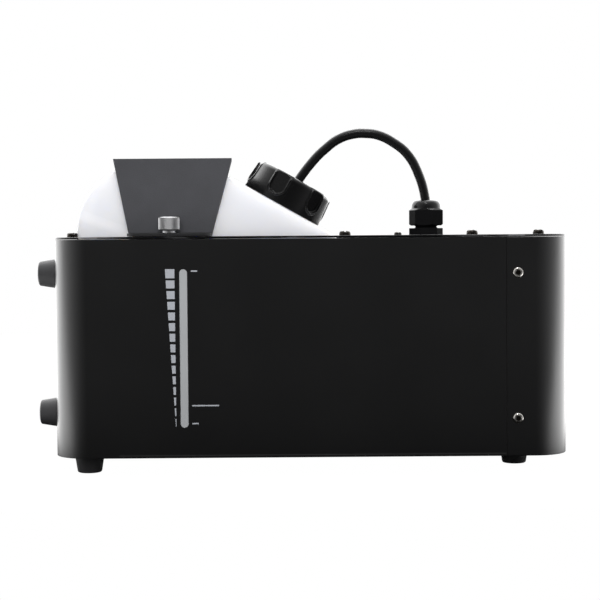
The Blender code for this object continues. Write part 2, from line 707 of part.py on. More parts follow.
def tank_outline():
    """Side view of the tank: round shoulder at the left, flat top, and a slope that carries the neck."""
    seat_x, seat_z = CAP_SEAT.x, CAP_SEAT.z
    lean, rise = CAP_AXIS.x, CAP_AXIS.z
    slope = 90 - CAP_TILT * 180 / pi
    foot, brow, crown = TANK_FOOT_RADIUS, TANK_BROW_RADIUS, TANK_CROWN_RADIUS
    brow_z = seat_z - (brow + (TANK_X1 - brow - seat_x) * lean) / rise
    crown_x = seat_x - (crown + (TANK_TOP - crown - seat_z) * rise) / lean
    return (arc((TANK_X0 + foot, TANK_BOTTOM + foot), foot, 180, 270, 4)
            + arc((TANK_X1 - foot, TANK_BOTTOM + foot), foot, 270, 360, 4)
            + arc((TANK_X1 - brow, brow_z), brow, 0, slope, 4)
            + arc((crown_x, TANK_TOP - crown), crown, slope, 90, 3)
            + arc((TANK_X0 + TANK_SHOULDER, TANK_TOP - TANK_SHOULDER), TANK_SHOULDER, 90, 180, 10))


def make_fluid_tank():
    """Blown tank, hollow, with an open neck on its slope."""
    shape = bmesh.new()
    prism(shape, tank_outline(), -TANK_DEPTH / 2, TANK_DEPTH / 2)
    upright = Matrix(((1, 0, 0, 0), (0, 0, -1, TANK_Y), (0, 1, 0, 0), (0, 0, 0, 1)))
    bmesh.ops.transform(shape, matrix=upright, verts=shape.verts)
    tank = add_part("fluid_tank", finish_mesh("fluid_tank", shape), TANK_PLASTIC)
    round_edges(tank, TANK_EDGE, 2, 60)
    thicken(tank, TANK_WALL)
    neck = bmesh.new()
    rod(neck, CAP_SEAT - CAP_AXIS * TANK_WALL / 2, CAP_SEAT + CAP_AXIS * NECK_HEIGHT, 2 * NECK_RADIUS)
    join(tank, "tank_neck", neck)
    bore = bmesh.new()
    rod(bore, CAP_SEAT - CAP_AXIS * 3 * TANK_WALL, CAP_SEAT + CAP_AXIS * CAP_HEIGHT,
        2 * (NECK_RADIUS - NECK_WALL))
    cut(tank, "neck_bore", bore)


def make_tank_cap():
    """Screw cap with round-ended finger pockets above its skirt, and a hole for the hose."""
    radius, hole = CAP_DIAMETER / 2, HOSE_DIAMETER / 2 + HOSE_PLAY
    edge = arc((radius - CAP_EDGE, CAP_HEIGHT - CAP_EDGE), CAP_EDGE, 90, 0, 3)
    profile = [(hole, CAP_HEIGHT)] + edge + [(radius, CLEARANCE), (CAP_BORE, CLEARANCE),
                                             (CAP_BORE, CAP_INNER_TOP), (hole, CAP_INNER_TOP)]
    cap = turned("tank_cap", profile, CAP_PLASTIC, 32)
    cap.location = CAP_SEAT
    cap.rotation_euler = CAP_TURN
    pockets = bmesh.new()
    half = POCKET_WIDTH / 2
    outline = arc((0, CAP_SKIRT + half), half, 180, 360, 6)
    outline += [(half, 2 * CAP_HEIGHT), (-half, 2 * CAP_HEIGHT)]
    upright = Matrix(((1, 0, 0), (0, 0, -1), (0, 1, 0)))
    for index in range(CAP_POCKETS):
        known = set(pockets.verts)
        prism(pockets, outline, radius - POCKET_DEPTH, radius + POCKET_DEPTH)
        made = [vert for vert in pockets.verts if vert not in known]
        around = Matrix.Rotation(POCKET_TURN + 2 * pi * index / CAP_POCKETS, 3, 'Z')
        bmesh.ops.transform(pockets, matrix=(around @ upright).to_4x4(), verts=made)
    cut(cap, "cap_pockets", pockets)


def make_cap_seal():
    """Flat ring between the neck's rim and the cap."""
    low = NECK_HEIGHT + CLEARANCE
    high = low + SEAL_THICKNESS
    inner = NECK_RADIUS - SEAL_WIDTH
    seal = turned("cap_seal", [(inner, high), (NECK_RADIUS, high), (NECK_RADIUS, low), (inner, low)],
                  SEAL_RUBBER)
    seal.location = CAP_SEAT
    seal.rotation_euler = CAP_TURN


def make_pickup():
    """Tube that hangs from the hose into the tank, and the strainer on its lower end."""
    lowest = TANK_BOTTOM + TANK_WALL + STRAINER_ABOVE_FLOOR + CAP_AXIS.x * STRAINER_DIAMETER / 2
    reach = (CAP_SEAT.z - lowest) / CAP_AXIS.z
    shape = bmesh.new()
    rod(shape, (0, 0, STRAINER_LENGTH + CLEARANCE - reach), (0, 0, HOSE_START - CLEARANCE),
        PICKUP_DIAMETER, segments=12)
    tube = add_part("pickup_tube", finish_mesh("pickup_tube", shape), CLEAR_PLASTIC)
    radius, edge = STRAINER_DIAMETER / 2, STRAINER_DIAMETER / 10
    profile = [(0, STRAINER_LENGTH), (PICKUP_DIAMETER, STRAINER_LENGTH),
               (radius, STRAINER_LENGTH - 3 * edge), (radius, edge), (radius - edge, 0), (0, 0)]
    strainer = turned("pickup_strainer", profile, BRASS, 16)
    tube.location = CAP_SEAT
    strainer.location = CAP_SEAT - CAP_AXIS * reach
    tube.rotation_euler = CAP_TURN
    strainer.rotation_euler = CAP_TURN


def knob_places():
    """Depths of the two thumbscrews, just clear of the strap's legs."""
    reach = SLIDE_FIT + STRAP_THICKNESS + KNOB_GAP + KNOB_DIAMETER / 2
    return (TANK_Y0 - reach, TANK_Y1 + reach)


def make_tank_strap():
    """Bent strap over the tank: legs that narrow downwards, and a flange on the plate at each side."""
    shape = bmesh.new()
    side = TANK_DEPTH / 2 + SLIDE_FIT + STRAP_THICKNESS
    top = TANK_TOP + CLEARANCE + STRAP_THICKNESS
    under = STRAP_BASE + STRAP_THICKNESS
    foot, head, tail = STRAP_FOOT_WIDTH / 2, STRAP_TOP_WIDTH / 2, STRAP_REAR_WIDTH / 2
    end = side + STRAP_FLANGE
    stations = ((-end, under, foot, 0), (-side, under, foot, 0), (-side, top, head, STRAP_LEAN),
                (side, top, tail, STRAP_LEAN), (side, under, foot, 0), (end, under, foot, 0))
    rows = [[shape.verts.new((STRAP_X + lean + s * width, TANK_Y + y, z)) for s in (-1, 1)]
            for y, z, width, lean in stations]
    for (a, b), (c, d) in zip(rows, rows[1:]):
        shape.faces.new((a, b, d, c))
    ends = rows[0] + rows[-1]
    bends = [shape.edges.get(row) for row in rows[1:-1]]
    bmesh.ops.bevel(shape, geom=bends, offset=STRAP_BEND, offset_type='OFFSET', segments=3, profile=0.5,
                    affect='EDGES', material=-1)
    bmesh.ops.bevel(shape, geom=ends, offset=STRAP_CORNER, offset_type='OFFSET', segments=4, profile=0.5,
                    affect='VERTICES', material=-1)
    shape.normal_update()
    crown = max(shape.faces, key=lambda face: face.calc_center_median().z)
    if crown.normal.z < 0:
        bmesh.ops.reverse_faces(shape, faces=shape.faces)
    strap = add_part("tank_strap", finish_mesh("tank_strap", shape), TEXTURED_PAINT)
    thicken(strap, STRAP_THICKNESS)
    holes = bmesh.new()
    for y in knob_places():
        rod(holes, (STRAP_X, y, TOP_Z - STRAP_THICKNESS), (STRAP_X, y, under + STRAP_THICKNESS),
            KNOB_STUD + 2 * SLIDE_FIT)
    cut(strap, "strap_holes", holes)


def make_thumbscrews():
    """Knurled thumbscrews that hold the strap's flanges to the plate."""
    seat = STRAP_BASE + STRAP_THICKNESS + CLEARANCE
    for name, y in zip(("thumbscrew_front", "thumbscrew_rear"), knob_places()):
        shape = bmesh.new()
        rod(shape, (0, 0, -KNOB_STUD_LENGTH), (0, 0, KNOB_NECK_HEIGHT), KNOB_STUD, segments=16)
        screw = add_part(name, finish_mesh(name, shape), STEEL)
        screw.location = (STRAP_X, y, seat)
        collar = bmesh.new()
        rod(collar, (0, 0, 0), (0, 0, KNOB_NECK_HEIGHT + KNOB_RIDGE_DEPTH), KNOB_NECK)
        join(screw, name + "_collar", collar)
        head = bmesh.new()
        verts = rod(head, (0, 0, KNOB_NECK_HEIGHT), (0, 0, KNOB_HEIGHT), KNOB_DIAMETER,
                    segments=2 * KNOB_RIDGES)
        valley = 1 - 2 * KNOB_RIDGE_DEPTH / KNOB_DIAMETER
        for vert in verts:
            step = round(vert.co.xy.angle_signed(Vector((1, 0))) * KNOB_RIDGES / pi)
            if step % 2:
                vert.co.x *= valley
                vert.co.y *= valley
        join(screw, name + "_head", head)


def make_gland():
    """Cable gland: hexagon body through the plate, dome nut above it, and a locknut below."""
    hole = HOSE_DIAMETER + 2 * HOSE_PLAY
    nut_low = GLAND_BASE + GLAND_BASE_HEIGHT + GLAND_GAP
    nut_top = nut_low + GLAND_NUT_HEIGHT
    inner_top = nut_top - GLAND_WALL
    hexagon_outline = [(GLAND_X + x, TANK_Y + y) for x, y in hexagon(GLAND_FLATS, GLAND_BODY_TURN)]
    axis_point = Vector((GLAND_X, TANK_Y, 0))

    shape = bmesh.new()
    prism(shape, hexagon_outline, GLAND_BASE, GLAND_BASE + GLAND_BASE_HEIGHT)
    body = add_part("gland_body", finish_mesh("gland_body", shape), GLAND_NYLON)
    thread = bmesh.new()
    low = axis_point + Vector((0, 0, PLATE_UNDER - THREAD_BELOW_PLATE))
    rod(thread, low, axis_point + Vector((0, 0, inner_top - CLEARANCE)), GLAND_THREAD)
    join(body, "gland_thread", thread)
    bore = bmesh.new()
    rod(bore, low - Vector((0, 0, SHEET)), axis_point + Vector((0, 0, nut_top)), hole)
    cut(body, "gland_bore", bore)

    radius = GLAND_DOME_DIAMETER / 2
    lip = hole / 2 + GLAND_WALL / 2
    dome = [(lip + (radius - lip) * sin(radians(a)), GLAND_DOME * cos(radians(a)) + nut_top - nut_low)
            for a in (0, 30, 60, 90)]
    room = GLAND_THREAD / 2 + CLEARANCE
    profile = [(hole / 2, dome[0][1])] + dome + [(radius, 0), (room, 0), (room, inner_top - nut_low),
                                                  (hole / 2, inner_top - nut_low)]
    nut = turned("gland_nut", profile, GLAND_NYLON)
    nut.location = (GLAND_X, TANK_Y, nut_low)
    sides = bmesh.new()
    prism(sides, hexagon(GLAND_FLATS, GLAND_NUT_TURN), 0, GLAND_NUT_HEIGHT)
    nut_sides = add_tool("nut_sides", sides)
    combine(nut, nut_sides, 'UNION')
    flat, corner = GLAND_FLATS / 2 - CLEARANCE, GLAND_FLATS / sqrt(3)
    spread = (corner - flat) / GLAND_CHAMFER
    reach = GLAND_NUT_HEIGHT + SHEET
    wide, narrow = 2 * (flat + spread * reach), 2 * (flat - spread * SHEET)
    for name, start, end in (("nut_upper_chamfer", -SHEET, reach), ("nut_lower_chamfer", reach, -SHEET)):
        cone = bmesh.new()
        rod(cone, (0, 0, start), (0, 0, end), wide, narrow, 18)
        combine(nut_sides, add_tool(name, cone), 'INTERSECT')
    clear = bmesh.new()
    rod(clear, (0, 0, -SHEET), (0, 0, inner_top - nut_low), 2 * room)
    cut(nut, "nut_thread", clear)
    way = bmesh.new()
    rod(way, (0, 0, 0), (0, 0, nut_top - nut_low + 2 * GLAND_DOME), hole, segments=16)
    cut(nut, "nut_hole", way)

    shape = bmesh.new()
    top = PLATE_UNDER - CLEARANCE
    prism(shape, hexagon_outline, top - LOCKNUT_HEIGHT, top)
    locknut = add_part("gland_locknut", finish_mesh("gland_locknut", shape), GLAND_NYLON)
    bore = bmesh.new()
    rod(bore, axis_point + Vector((0, 0, top - 2 * LOCKNUT_HEIGHT)), axis_point + Vector((0, 0, TOP_Z)),
        GLAND_THREAD + 2 * CLEARANCE)
    cut(locknut, "locknut_bore", bore)


def smooth_route(points, step):
    """Points about a step apart on a smooth curve through the given points."""
    points = [Vector(point) for point in points]
    ends = [2 * points[0] - points[1]] + points + [2 * points[-1] - points[-2]]
    route = [points[0]]
    for before, start, end, after in zip(ends, ends[1:], ends[2:], ends[3:]):
        count = max(1, round((end - start).length / step))
        for index in range(1, count + 1):
            t = index / count
            route.append(0.5 * (2 * start + (end - before) * t
                                + (2 * before - 5 * start + 4 * end - after) * t ** 2
                                + (3 * start - before - 3 * end + after) * t ** 3))
    return route


def straight_run(start, run):
    """Three points in line, which keep a tube's end square to what it meets."""
    return [start + run * index / 2 for index in range(3)]


def make_tube(name, points, diameter, step, material, sides=3):
    """A tube along a smooth route, with closed ends."""
    curve = bpy.data.curves.new(name, 'CURVE')
    curve.dimensions = '3D'
    curve.bevel_depth = diameter / 2
    curve.bevel_resolution = sides
    curve.use_fill_caps = True
    route = smooth_route(points, step)
    spline = curve.splines.new('POLY')
    spline.points.add(len(route) - 1)
    for point, place in zip(spline.points, route):
        point.co = (*place, 1.0)
    spline.use_smooth = True
    return add_part(name, curve, material)


def make_tank_hose():
    """Hose from the pickup tube, out through the cap, over in an arch, and down the gland to the pump."""
    points = straight_run(CAP_SEAT + CAP_AXIS * HOSE_START, CAP_AXIS * (HOSE_STRAIGHT - HOSE_START))
    start = CAP_SEAT.x + CAP_AXIS.x * HOSE_STRAIGHT
    way = GLAND_X - start
    points += [Vector((start + share * way, TANK_Y, TOP_Z + z)) for share, z in HOSE_ARCH]
    top = GLAND_BASE + GLAND_BASE_HEIGHT + GLAND_NUT_HEIGHT
    low = PUMP_INLET + CLEARANCE
    points += [Vector((GLAND_X, TANK_Y, top + (low - top) * i / 3)) for i in range(4)]
    make_tube("tank_hose", points, HOSE_DIAMETER, HOSE_STEP, HOSE_RUBBER, 2)


def make_pump():
    """Solenoid pump on end under the gland: body, coil round it, and an angle bracket on the pan."""
    radius, barb = PUMP_DIAMETER / 2, PUMP_BARB / 2
    foot = PUMP_FOOT - PUMP_BARB_LENGTH / 2
    profile = [(0, PUMP_INLET), (barb, PUMP_INLET), (barb, PUMP_TOP), (radius, PUMP_TOP),
               (radius, PUMP_FOOT), (barb, PUMP_FOOT), (barb, foot), (0, foot)]
    pump = turned("pump_body", profile, BLACK_PLASTIC, 18)
    pump.location = (GLAND_X, TANK_Y, 0)

    half = COIL_SIZE / 2
    high = PUMP_TOP - COIL_BELOW_PUMP_TOP
    shape = bmesh.new()
    box(shape, (GLAND_X - half, TANK_Y - half, high - COIL_LENGTH), (GLAND_X + half, TANK_Y + half, high))
    coil = add_part("pump_coil", finish_mesh("pump_coil", shape), ZINC)
    round_edges(coil, COIL_SIZE / 16)
    bore = bmesh.new()
    rod(bore, (GLAND_X, TANK_Y, high - 2 * COIL_LENGTH), (GLAND_X, TANK_Y, high + COIL_LENGTH),
        PUMP_DIAMETER + 2 * CLEARANCE, segments=28)
    cut(coil, "coil_bore", bore)

    near = GLAND_X + half + CLEARANCE
    low = PAN_TOP + CLEARANCE
    width = BRACKET_WIDTH / 2
    shape = bmesh.new()
    box(shape, (near, TANK_Y - width, low), (near + SHEET, TANK_Y + width, high))
    bracket = add_part("pump_bracket", finish_mesh("pump_bracket", shape), ZINC)
    flange = bmesh.new()
    box(flange, (near + SHEET / 2, TANK_Y - width, low), (near + BRACKET_FOOT, TANK_Y + width, low + SHEET))
    join(bracket, "bracket_foot", flange)


def make_heater():
    """Heater block with its two ports, in a sheet jacket on spacer frames, carried by two saddles."""
    half_width, half_height = HEATER_WIDTH / 2, HEATER_HEIGHT / 2
    shape = bmesh.new()
    box(shape, (HEATER_X0, HEATER_Y - half_width, MIDDLE_Z - half_height),
        (HEATER_X1, HEATER_Y + half_width, MIDDLE_Z + half_height))
    block = add_part("heater_block", finish_mesh("heater_block", shape), ALUMINIUM)
    round_edges(block, HEATER_EDGE)
    ports = bmesh.new()
    for end in (FEED_PORT, OUTLET_PORT):
        rod(ports, end - Vector((2 * PORT_LENGTH, 0, 0)), end, PORT_DIAMETER)
    join(block, "heater_ports", ports)

    inner_y, inner_z = half_width + JACKET_GAP, half_height + JACKET_GAP
    shape = bmesh.new()
    box(shape, (HEATER_X0, HEATER_Y - inner_y - SHEET, MIDDLE_Z - inner_z - SHEET),
        (HEATER_X1, HEATER_Y + inner_y + SHEET, MIDDLE_Z + inner_z + SHEET))
    jacket = add_part("heater_jacket", finish_mesh("heater_jacket", shape), ZINC)
    room = bmesh.new()
    box(room, (HEATER_X0 - SHEET, HEATER_Y - inner_y, MIDDLE_Z - inner_z),
        (HEATER_X1 + SHEET, HEATER_Y + inner_y, MIDDLE_Z + inner_z))
    cut(jacket, "jacket_room", room)

    width = HEATER_BRACKET_WIDTH
    places = {"left": HEATER_X0 + HEATER_BRACKET_FROM_END,
              "right": HEATER_X1 - HEATER_BRACKET_FROM_END - width}
    for label, x in places.items():
        fit_y, fit_z = inner_y - CLEARANCE, inner_z - CLEARANCE
        shape = bmesh.new()
        box(shape, (x, HEATER_Y - fit_y, MIDDLE_Z - fit_z), (x + width, HEATER_Y + fit_y, MIDDLE_Z + fit_z))
        spacer = add_part("heater_spacer_" + label, finish_mesh("heater_spacer", shape), ZINC)
        room = bmesh.new()
        fit_y, fit_z = half_width + CLEARANCE, half_height + CLEARANCE
        box(room, (x - width, HEATER_Y - fit_y, MIDDLE_Z - fit_z),
            (x + 2 * width, HEATER_Y + fit_y, MIDDLE_Z + fit_z))
        cut(spacer, "spacer_room_" + label, room)

        top = MIDDLE_Z - inner_z - SHEET - CLEARANCE
        low = PAN_TOP + CLEARANCE
        shape = bmesh.new()
        box(shape, (x, HEATER_Y - half_width, low), (x + width, HEATER_Y + half_width, top))
        saddle = add_part("heater_saddle_" + label, finish_mesh("heater_saddle", shape), ZINC)
        arch = bmesh.new()
        box(arch, (x - width, HEATER_Y - half_width + 2 * SHEET, low - SHEET),
            (x + 2 * width, HEATER_Y + half_width - 2 * SHEET, top - 2 * SHEET))
        cut(saddle, "saddle_arch_" + label, arch)

    profile = [(0, THERMOSTAT_HEIGHT), (THERMOSTAT_DIAMETER / 4, THERMOSTAT_HEIGHT),
               (THERMOSTAT_DIAMETER / 4, THERMOSTAT_HEIGHT / 2),
               (THERMOSTAT_DIAMETER / 2, THERMOSTAT_HEIGHT / 2), (THERMOSTAT_DIAMETER / 2, 0), (0, 0)]
    thermostat = turned("thermostat", profile, STEEL, 16)
    thermostat.location = (HEATER_X1 + CLEARANCE, HEATER_Y + HEATER_WIDTH / 4, MIDDLE_Z)
    thermostat.rotation_euler = (0, radians(90), 0)


def make_feed_tube():
    """Thin tube from the pump's outlet to the heater's lower port."""
    start = Vector((GLAND_X, TANK_Y, PUMP_FOOT - PUMP_BARB_LENGTH / 2 - CLEARANCE))
    end = FEED_PORT + Vector((CLEARANCE, 0, 0))
    bend = 3 * FEED_TUBE
    low = PAN_TOP + 2 * FEED_TUBE
    points = straight_run(start, Vector((0, 0, -FEED_TUBE)))
    points += [Vector((start.x, start.y + bend / 4, low + bend / 6)),
               Vector((start.x, start.y + bend, low)),
               Vector((start.x, (start.y + end.y) / 2, low + bend / 3)),
               Vector((start.x, end.y - 1.5 * bend, end.z - bend / 3)),
               Vector((start.x - bend / 6, end.y - bend / 2, end.z))]
    points += straight_run(end + Vector((FEED_TUBE, 0, 0)), Vector((-FEED_TUBE, 0, 0)))
    make_tube("feed_tube", points, FEED_TUBE, 3 * FEED_TUBE, COPPER, 2)


def make_outlet_pipe():
    """Pipe that carries fog from the heater's upper port to the nozzle."""
    start = OUTLET_PORT + Vector((CLEARANCE, 0, 0))
    end = Vector((RIGHT - NOZZLE_LENGTH - CLEARANCE, 0, MIDDLE_Z))
    straight = Vector(((end.x - start.x) / 6, 0, 0))
    points = straight_run(start, straight) + [(start + end) / 2] + straight_run(end - straight, straight)
    make_tube("outlet_pipe", points, OUTLET_PIPE, OUTLET_PIPE, COPPER, 2)


def make_nozzle():
    """Turned nozzle on the outlet pipe, level with the end cover's outer face."""
    radius, bore = NOZZLE_DIAMETER / 2, NOZZLE_BORE / 2
    back = -NOZZLE_LENGTH
    profile = [(bore, -radius / 4), (NOZZLE_MOUTH / 2, 0), (NOZZLE_LIP / 2, 0), (radius, -radius),
               (radius, back + radius / 2), (OUTLET_PIPE / 2, back), (bore, back)]
    nozzle = turned("nozzle", profile, BRASS, 18)
    nozzle.location = (RIGHT, 0, MIDDLE_Z)
    nozzle.rotation_euler = (0, radians(90), 0)


def lamp_places():
    """Centres of the lamps on a ring round the nozzle."""
    angles = [2 * pi * index / LAMP_COUNT for index in range(LAMP_COUNT)]
    return [(LAMP_RING * cos(a), MIDDLE_Z + LAMP_RING * sin(a)) for a in angles]


def make_lamps():
    """Clear lens plate behind the end cover, its lenses in the holes, and the lamp board on its rims."""
    inner, outer = LAMP_RING - LAMP_PLATE_WIDTH / 2, LAMP_RING + LAMP_PLATE_WIDTH / 2
    rim = LENS_PLATE_THICKNESS
    front = -SHEET - CLEARANCE
    back = front - LENS_PLATE_THICKNESS
    low = back - LAMP_SPACER
    profile = [(inner, front), (outer, front), (outer, low), (outer - rim, low), (outer - rim, back),
               (inner + rim, back), (inner + rim, low), (inner, low)]
    plate = turned("lens_plate", profile, CLEAR_PLASTIC)
    plate.location = (RIGHT, 0, MIDDLE_Z)
    plate.rotation_euler = (0, radians(90), 0)
    lenses = bmesh.new()
    for y, z in lamp_places():
        rod(lenses, (MIDDLE_Z - z, y, back + rim / 2), (MIDDLE_Z - z, y, 0), LAMP_LENS, LAMP_LENS_TIP,
            segments=10)
    join(plate, "lenses", lenses)

    shape_front = low - CLEARANCE
    board = turned("lamp_board", [(inner, shape_front), (outer, shape_front), (outer, shape_front - BOARD),
                                  (inner, shape_front - BOARD)], BOARD_GREEN)
    board.location = plate.location
    board.rotation_euler = plate.rotation_euler
    chips = bmesh.new()
    half = LAMP_LENS / 6
    for y, z in lamp_places():
        box(chips, (MIDDLE_Z - z - half, y - half, shape_front - BOARD / 2),
            (MIDDLE_Z - z + half, y + half, shape_front + half))
    join(board, "lamp_chips", chips)


def panel_middle():
    """Middle of the control panel along the case and in height."""
    return PANEL_X, TOP_Z - PANEL_BELOW_TOP - PANEL_HEIGHT / 2


def socket_places():
    """Middles of the two signal sockets."""
    z = TOP_Z - SOCKET_BELOW_TOP
    return [(SIGNAL_IN_X, z), (SIGNAL_OUT_X, z)]


def display_middle():
    """Middle of the display, in the left part of the panel as seen from the rear."""
    x, z = panel_middle()
    return x + PANEL_LENGTH / 2 - PANEL_BORDER - DISPLAY_LENGTH / 2 - BUTTON_FLANGE_WIDTH, z


def button_places():
    """Middles of the four menu buttons, in two rows of two."""
    x, z = panel_middle()
    x -= PANEL_LENGTH / 2 - PANEL_BORDER - BUTTON_PITCH / 2 - BUTTON_DIAMETER
    half = BUTTON_PITCH / 2
    return [(x + i * half, z + j * half) for j in (1, -1) for i in (1, -1)]


def control_holes(holes):
    """Add the openings for everything that is set in the rear of the shell."""
    low, high = REAR - 4 * SHEET, REAR + SHEET
    x, z = panel_middle()
    half_length, half_height = PANEL_LENGTH / 2 - PANEL_BORDER, PANEL_HEIGHT / 2 - PANEL_BORDER
    box(holes, (x - half_length, low, z - half_height), (x + half_length, high, z + half_height))
    for x, z in socket_places():
        rod(holes, (x, low, z), (x, high, z), SOCKET_SHELL + 2 * CLEARANCE)
    z = BASE_Z + INLET_ABOVE_PAN
    inlet_walls, switch_walls = 4 * INLET_WALL, 2 * SWITCH_WALL
    for x, width, height in ((INLET_X, INLET_MOUTH_WIDTH + inlet_walls, INLET_MOUTH_HEIGHT + inlet_walls),
                             (SWITCH_X, SWITCH_WIDTH + switch_walls, SWITCH_HEIGHT + switch_walls)):
        half_width, half_height = width / 2 + CLEARANCE, height / 2 + CLEARANCE
        box(holes, (x - half_width, low, z - half_height), (x + half_width, high, z + half_height))
    rod(holes, (FUSE_X, low, z), (FUSE_X, high, z), FUSE_CAP_DIAMETER + 2 * CLEARANCE)


def make_control_panel():
    """Panel behind its opening, with the display, four buttons and the board behind them."""
    x, z = panel_middle()
    front = REAR_INSIDE - CLEARANCE
    back = front - PANEL_THICKNESS
    flange_back = back - CLEARANCE - BUTTON_FLANGE
    board_front = flange_back - BUTTON_TRAVEL - CLEARANCE
    shape = bmesh.new()
    box(shape, (x - PANEL_LENGTH / 2, back, z - PANEL_HEIGHT / 2),
        (x + PANEL_LENGTH / 2, front, z + PANEL_HEIGHT / 2))
    panel = add_part("control_panel", finish_mesh("control_panel", shape), BLACK_PLASTIC)
    holes = bmesh.new()
    dx, dz = display_middle()
    half_length, half_height = DISPLAY_LENGTH / 2, DISPLAY_HEIGHT / 2
    box(holes, (dx - half_length, back - SHEET, dz - half_height),
        (dx + half_length, front + SHEET, dz + half_height))
    for bx, bz in button_places():
        rod(holes, (bx, back - SHEET, bz), (bx, front + SHEET, bz), BUTTON_DIAMETER + 2 * SLIDE_FIT,
            segments=16)
    cut(panel, "panel_holes", holes)

    shape = bmesh.new()
    half_length, half_height = DISPLAY_LENGTH / 2 - CLEARANCE, DISPLAY_HEIGHT / 2 - CLEARANCE
    box(shape, (dx - half_length, board_front + CLEARANCE, dz - half_height),
        (dx + half_length, front, dz + half_height))
    add_part("display", finish_mesh("display", shape), CLEAR_PLASTIC)

    radius, flange = BUTTON_DIAMETER / 2, BUTTON_DIAMETER / 2 + BUTTON_FLANGE_WIDTH
    edge = BUTTON_DIAMETER / 12
    tip = BUTTON_STANDS + PANEL_THICKNESS + CLEARANCE
    profile = [(0, tip), (radius - edge, tip), (radius, tip - edge), (radius, 0), (flange, 0),
               (flange, -BUTTON_FLANGE), (0, -BUTTON_FLANGE)]
    names = ("menu", "up", "enter", "down")
    for name, (bx, bz) in zip(names, button_places()):
        button = turned("button_" + name, profile, BLACK_PLASTIC, 16)
        button.location = (bx, back - CLEARANCE, bz)
        button.rotation_euler = (radians(-90), 0, 0)

    shape = bmesh.new()
    half_length, half_height = PANEL_LENGTH / 2 - PANEL_BORDER, PANEL_HEIGHT / 2 - PANEL_BORDER
    box(shape, (x - half_length, board_front - BOARD, z - half_height),
        (x + half_length, board_front, z + half_height))
    add_part("menu_board", finish_mesh("menu_board", shape), BOARD_GREEN)


def make_signal_sockets():
    """Two round signal sockets: one with pins in an open shell, one with holes in its core."""
    flange_front = REAR + CLEARANCE + SOCKET_FLANGE_THICKNESS
    back = REAR - SOCKET_DEPTH
    floor = flange_front - SOCKET_CAVITY
    for name, (x, z) in zip(("signal_in", "signal_out"), socket_places()):
        half_width, half_height = SOCKET_FLANGE_WIDTH / 2, SOCKET_FLANGE_HEIGHT / 2
        shape = bmesh.new()
        box(shape, (x - half_width, REAR + CLEARANCE, z - half_height),
            (x + half_width, flange_front, z + half_height))
        socket = add_part(name, finish_mesh(name, shape), BLACK_PLASTIC)
        shell = bmesh.new()
        rod(shell, (x, back, z), (x, REAR + CLEARANCE + SOCKET_FLANGE_THICKNESS / 2, z), SOCKET_SHELL)
        join(socket, name + "_shell", shell)
        cavity = bmesh.new()
        rod(cavity, (x, floor, z), (x, flange_front + SHEET, z), SOCKET_SHELL - 2 * SOCKET_WALL)
        cut(socket, name + "_cavity", cavity)
        pins = bmesh.new()
        reach = flange_front - SHEET if name == "signal_in" else flange_front
        size = SOCKET_PIN if name == "signal_in" else SOCKET_PIN + 2 * CLEARANCE
        for angle in (90, 210, 330):
            px = x + SOCKET_CORE / 4 * cos(radians(angle))
            pz = z + SOCKET_CORE / 4 * sin(radians(angle))
            rod(pins, (px, floor - SHEET, pz), (px, reach, pz), size, segments=12)
        if name == "signal_in":
            join(socket, name + "_pins", pins)
        else:
            core = bmesh.new()
            rod(core, (x, floor - SHEET, z), (x, flange_front - SHEET, z), SOCKET_CORE)
            join(socket, name + "_core", core)
            cut(socket, name + "_holes", pins)


def make_mains_inlet():
    """Mains inlet: flange, body through the shell, open mouth and three flat pins."""
    x, z = INLET_X, BASE_Z + INLET_ABOVE_PAN
    front = REAR + CLEARANCE + INLET_FLANGE
    floor = front - INLET_CAVITY
    shape = bmesh.new()
    box(shape, (x - INLET_WIDTH / 2, REAR + CLEARANCE, z - INLET_HEIGHT / 2),
        (x + INLET_WIDTH / 2, front, z + INLET_HEIGHT / 2))
    inlet = add_part("mains_inlet", finish_mesh("mains_inlet", shape), BLACK_PLASTIC)
    body = bmesh.new()
    half_width, half_height = INLET_MOUTH_WIDTH / 2 + 2 * INLET_WALL, INLET_MOUTH_HEIGHT / 2 + 2 * INLET_WALL
    box(body, (x - half_width, REAR - INLET_DEPTH, z - half_height),
        (x + half_width, REAR + CLEARANCE + INLET_FLANGE / 2, z + half_height))
    join(inlet, "inlet_body", body)
    mouth = bmesh.new()
    half_width, half_height, chamfer = INLET_MOUTH_WIDTH / 2, INLET_MOUTH_HEIGHT / 2, INLET_CHAMFER
    outline = [(x - half_width, half_height), (x - half_width, chamfer - half_height),
               (x - half_width + chamfer, -half_height), (x + half_width - chamfer, -half_height),
               (x + half_width, chamfer - half_height), (x + half_width, half_height)]
    prism(mouth, outline, 0, INLET_CAVITY + SHEET)
    upright = Matrix(((1, 0, 0, 0), (0, 0, 1, floor), (0, -1, 0, z), (0, 0, 0, 1)))
    bmesh.ops.transform(mouth, matrix=upright, verts=mouth.verts)
    cut(inlet, "inlet_mouth", mouth)
    pins = bmesh.new()
    for across, up in ((-1, -1), (0, 1), (1, -1)):
        cx, cz = x + across * INLET_PIN_PITCH, z + up * INLET_PIN_OFFSET
        box(pins, (cx - INLET_PIN / 4, floor - SHEET, cz - INLET_PIN / 2),
            (cx + INLET_PIN / 4, front - 2 * SHEET, cz + INLET_PIN / 2))
    join(inlet, "inlet_pins", pins)


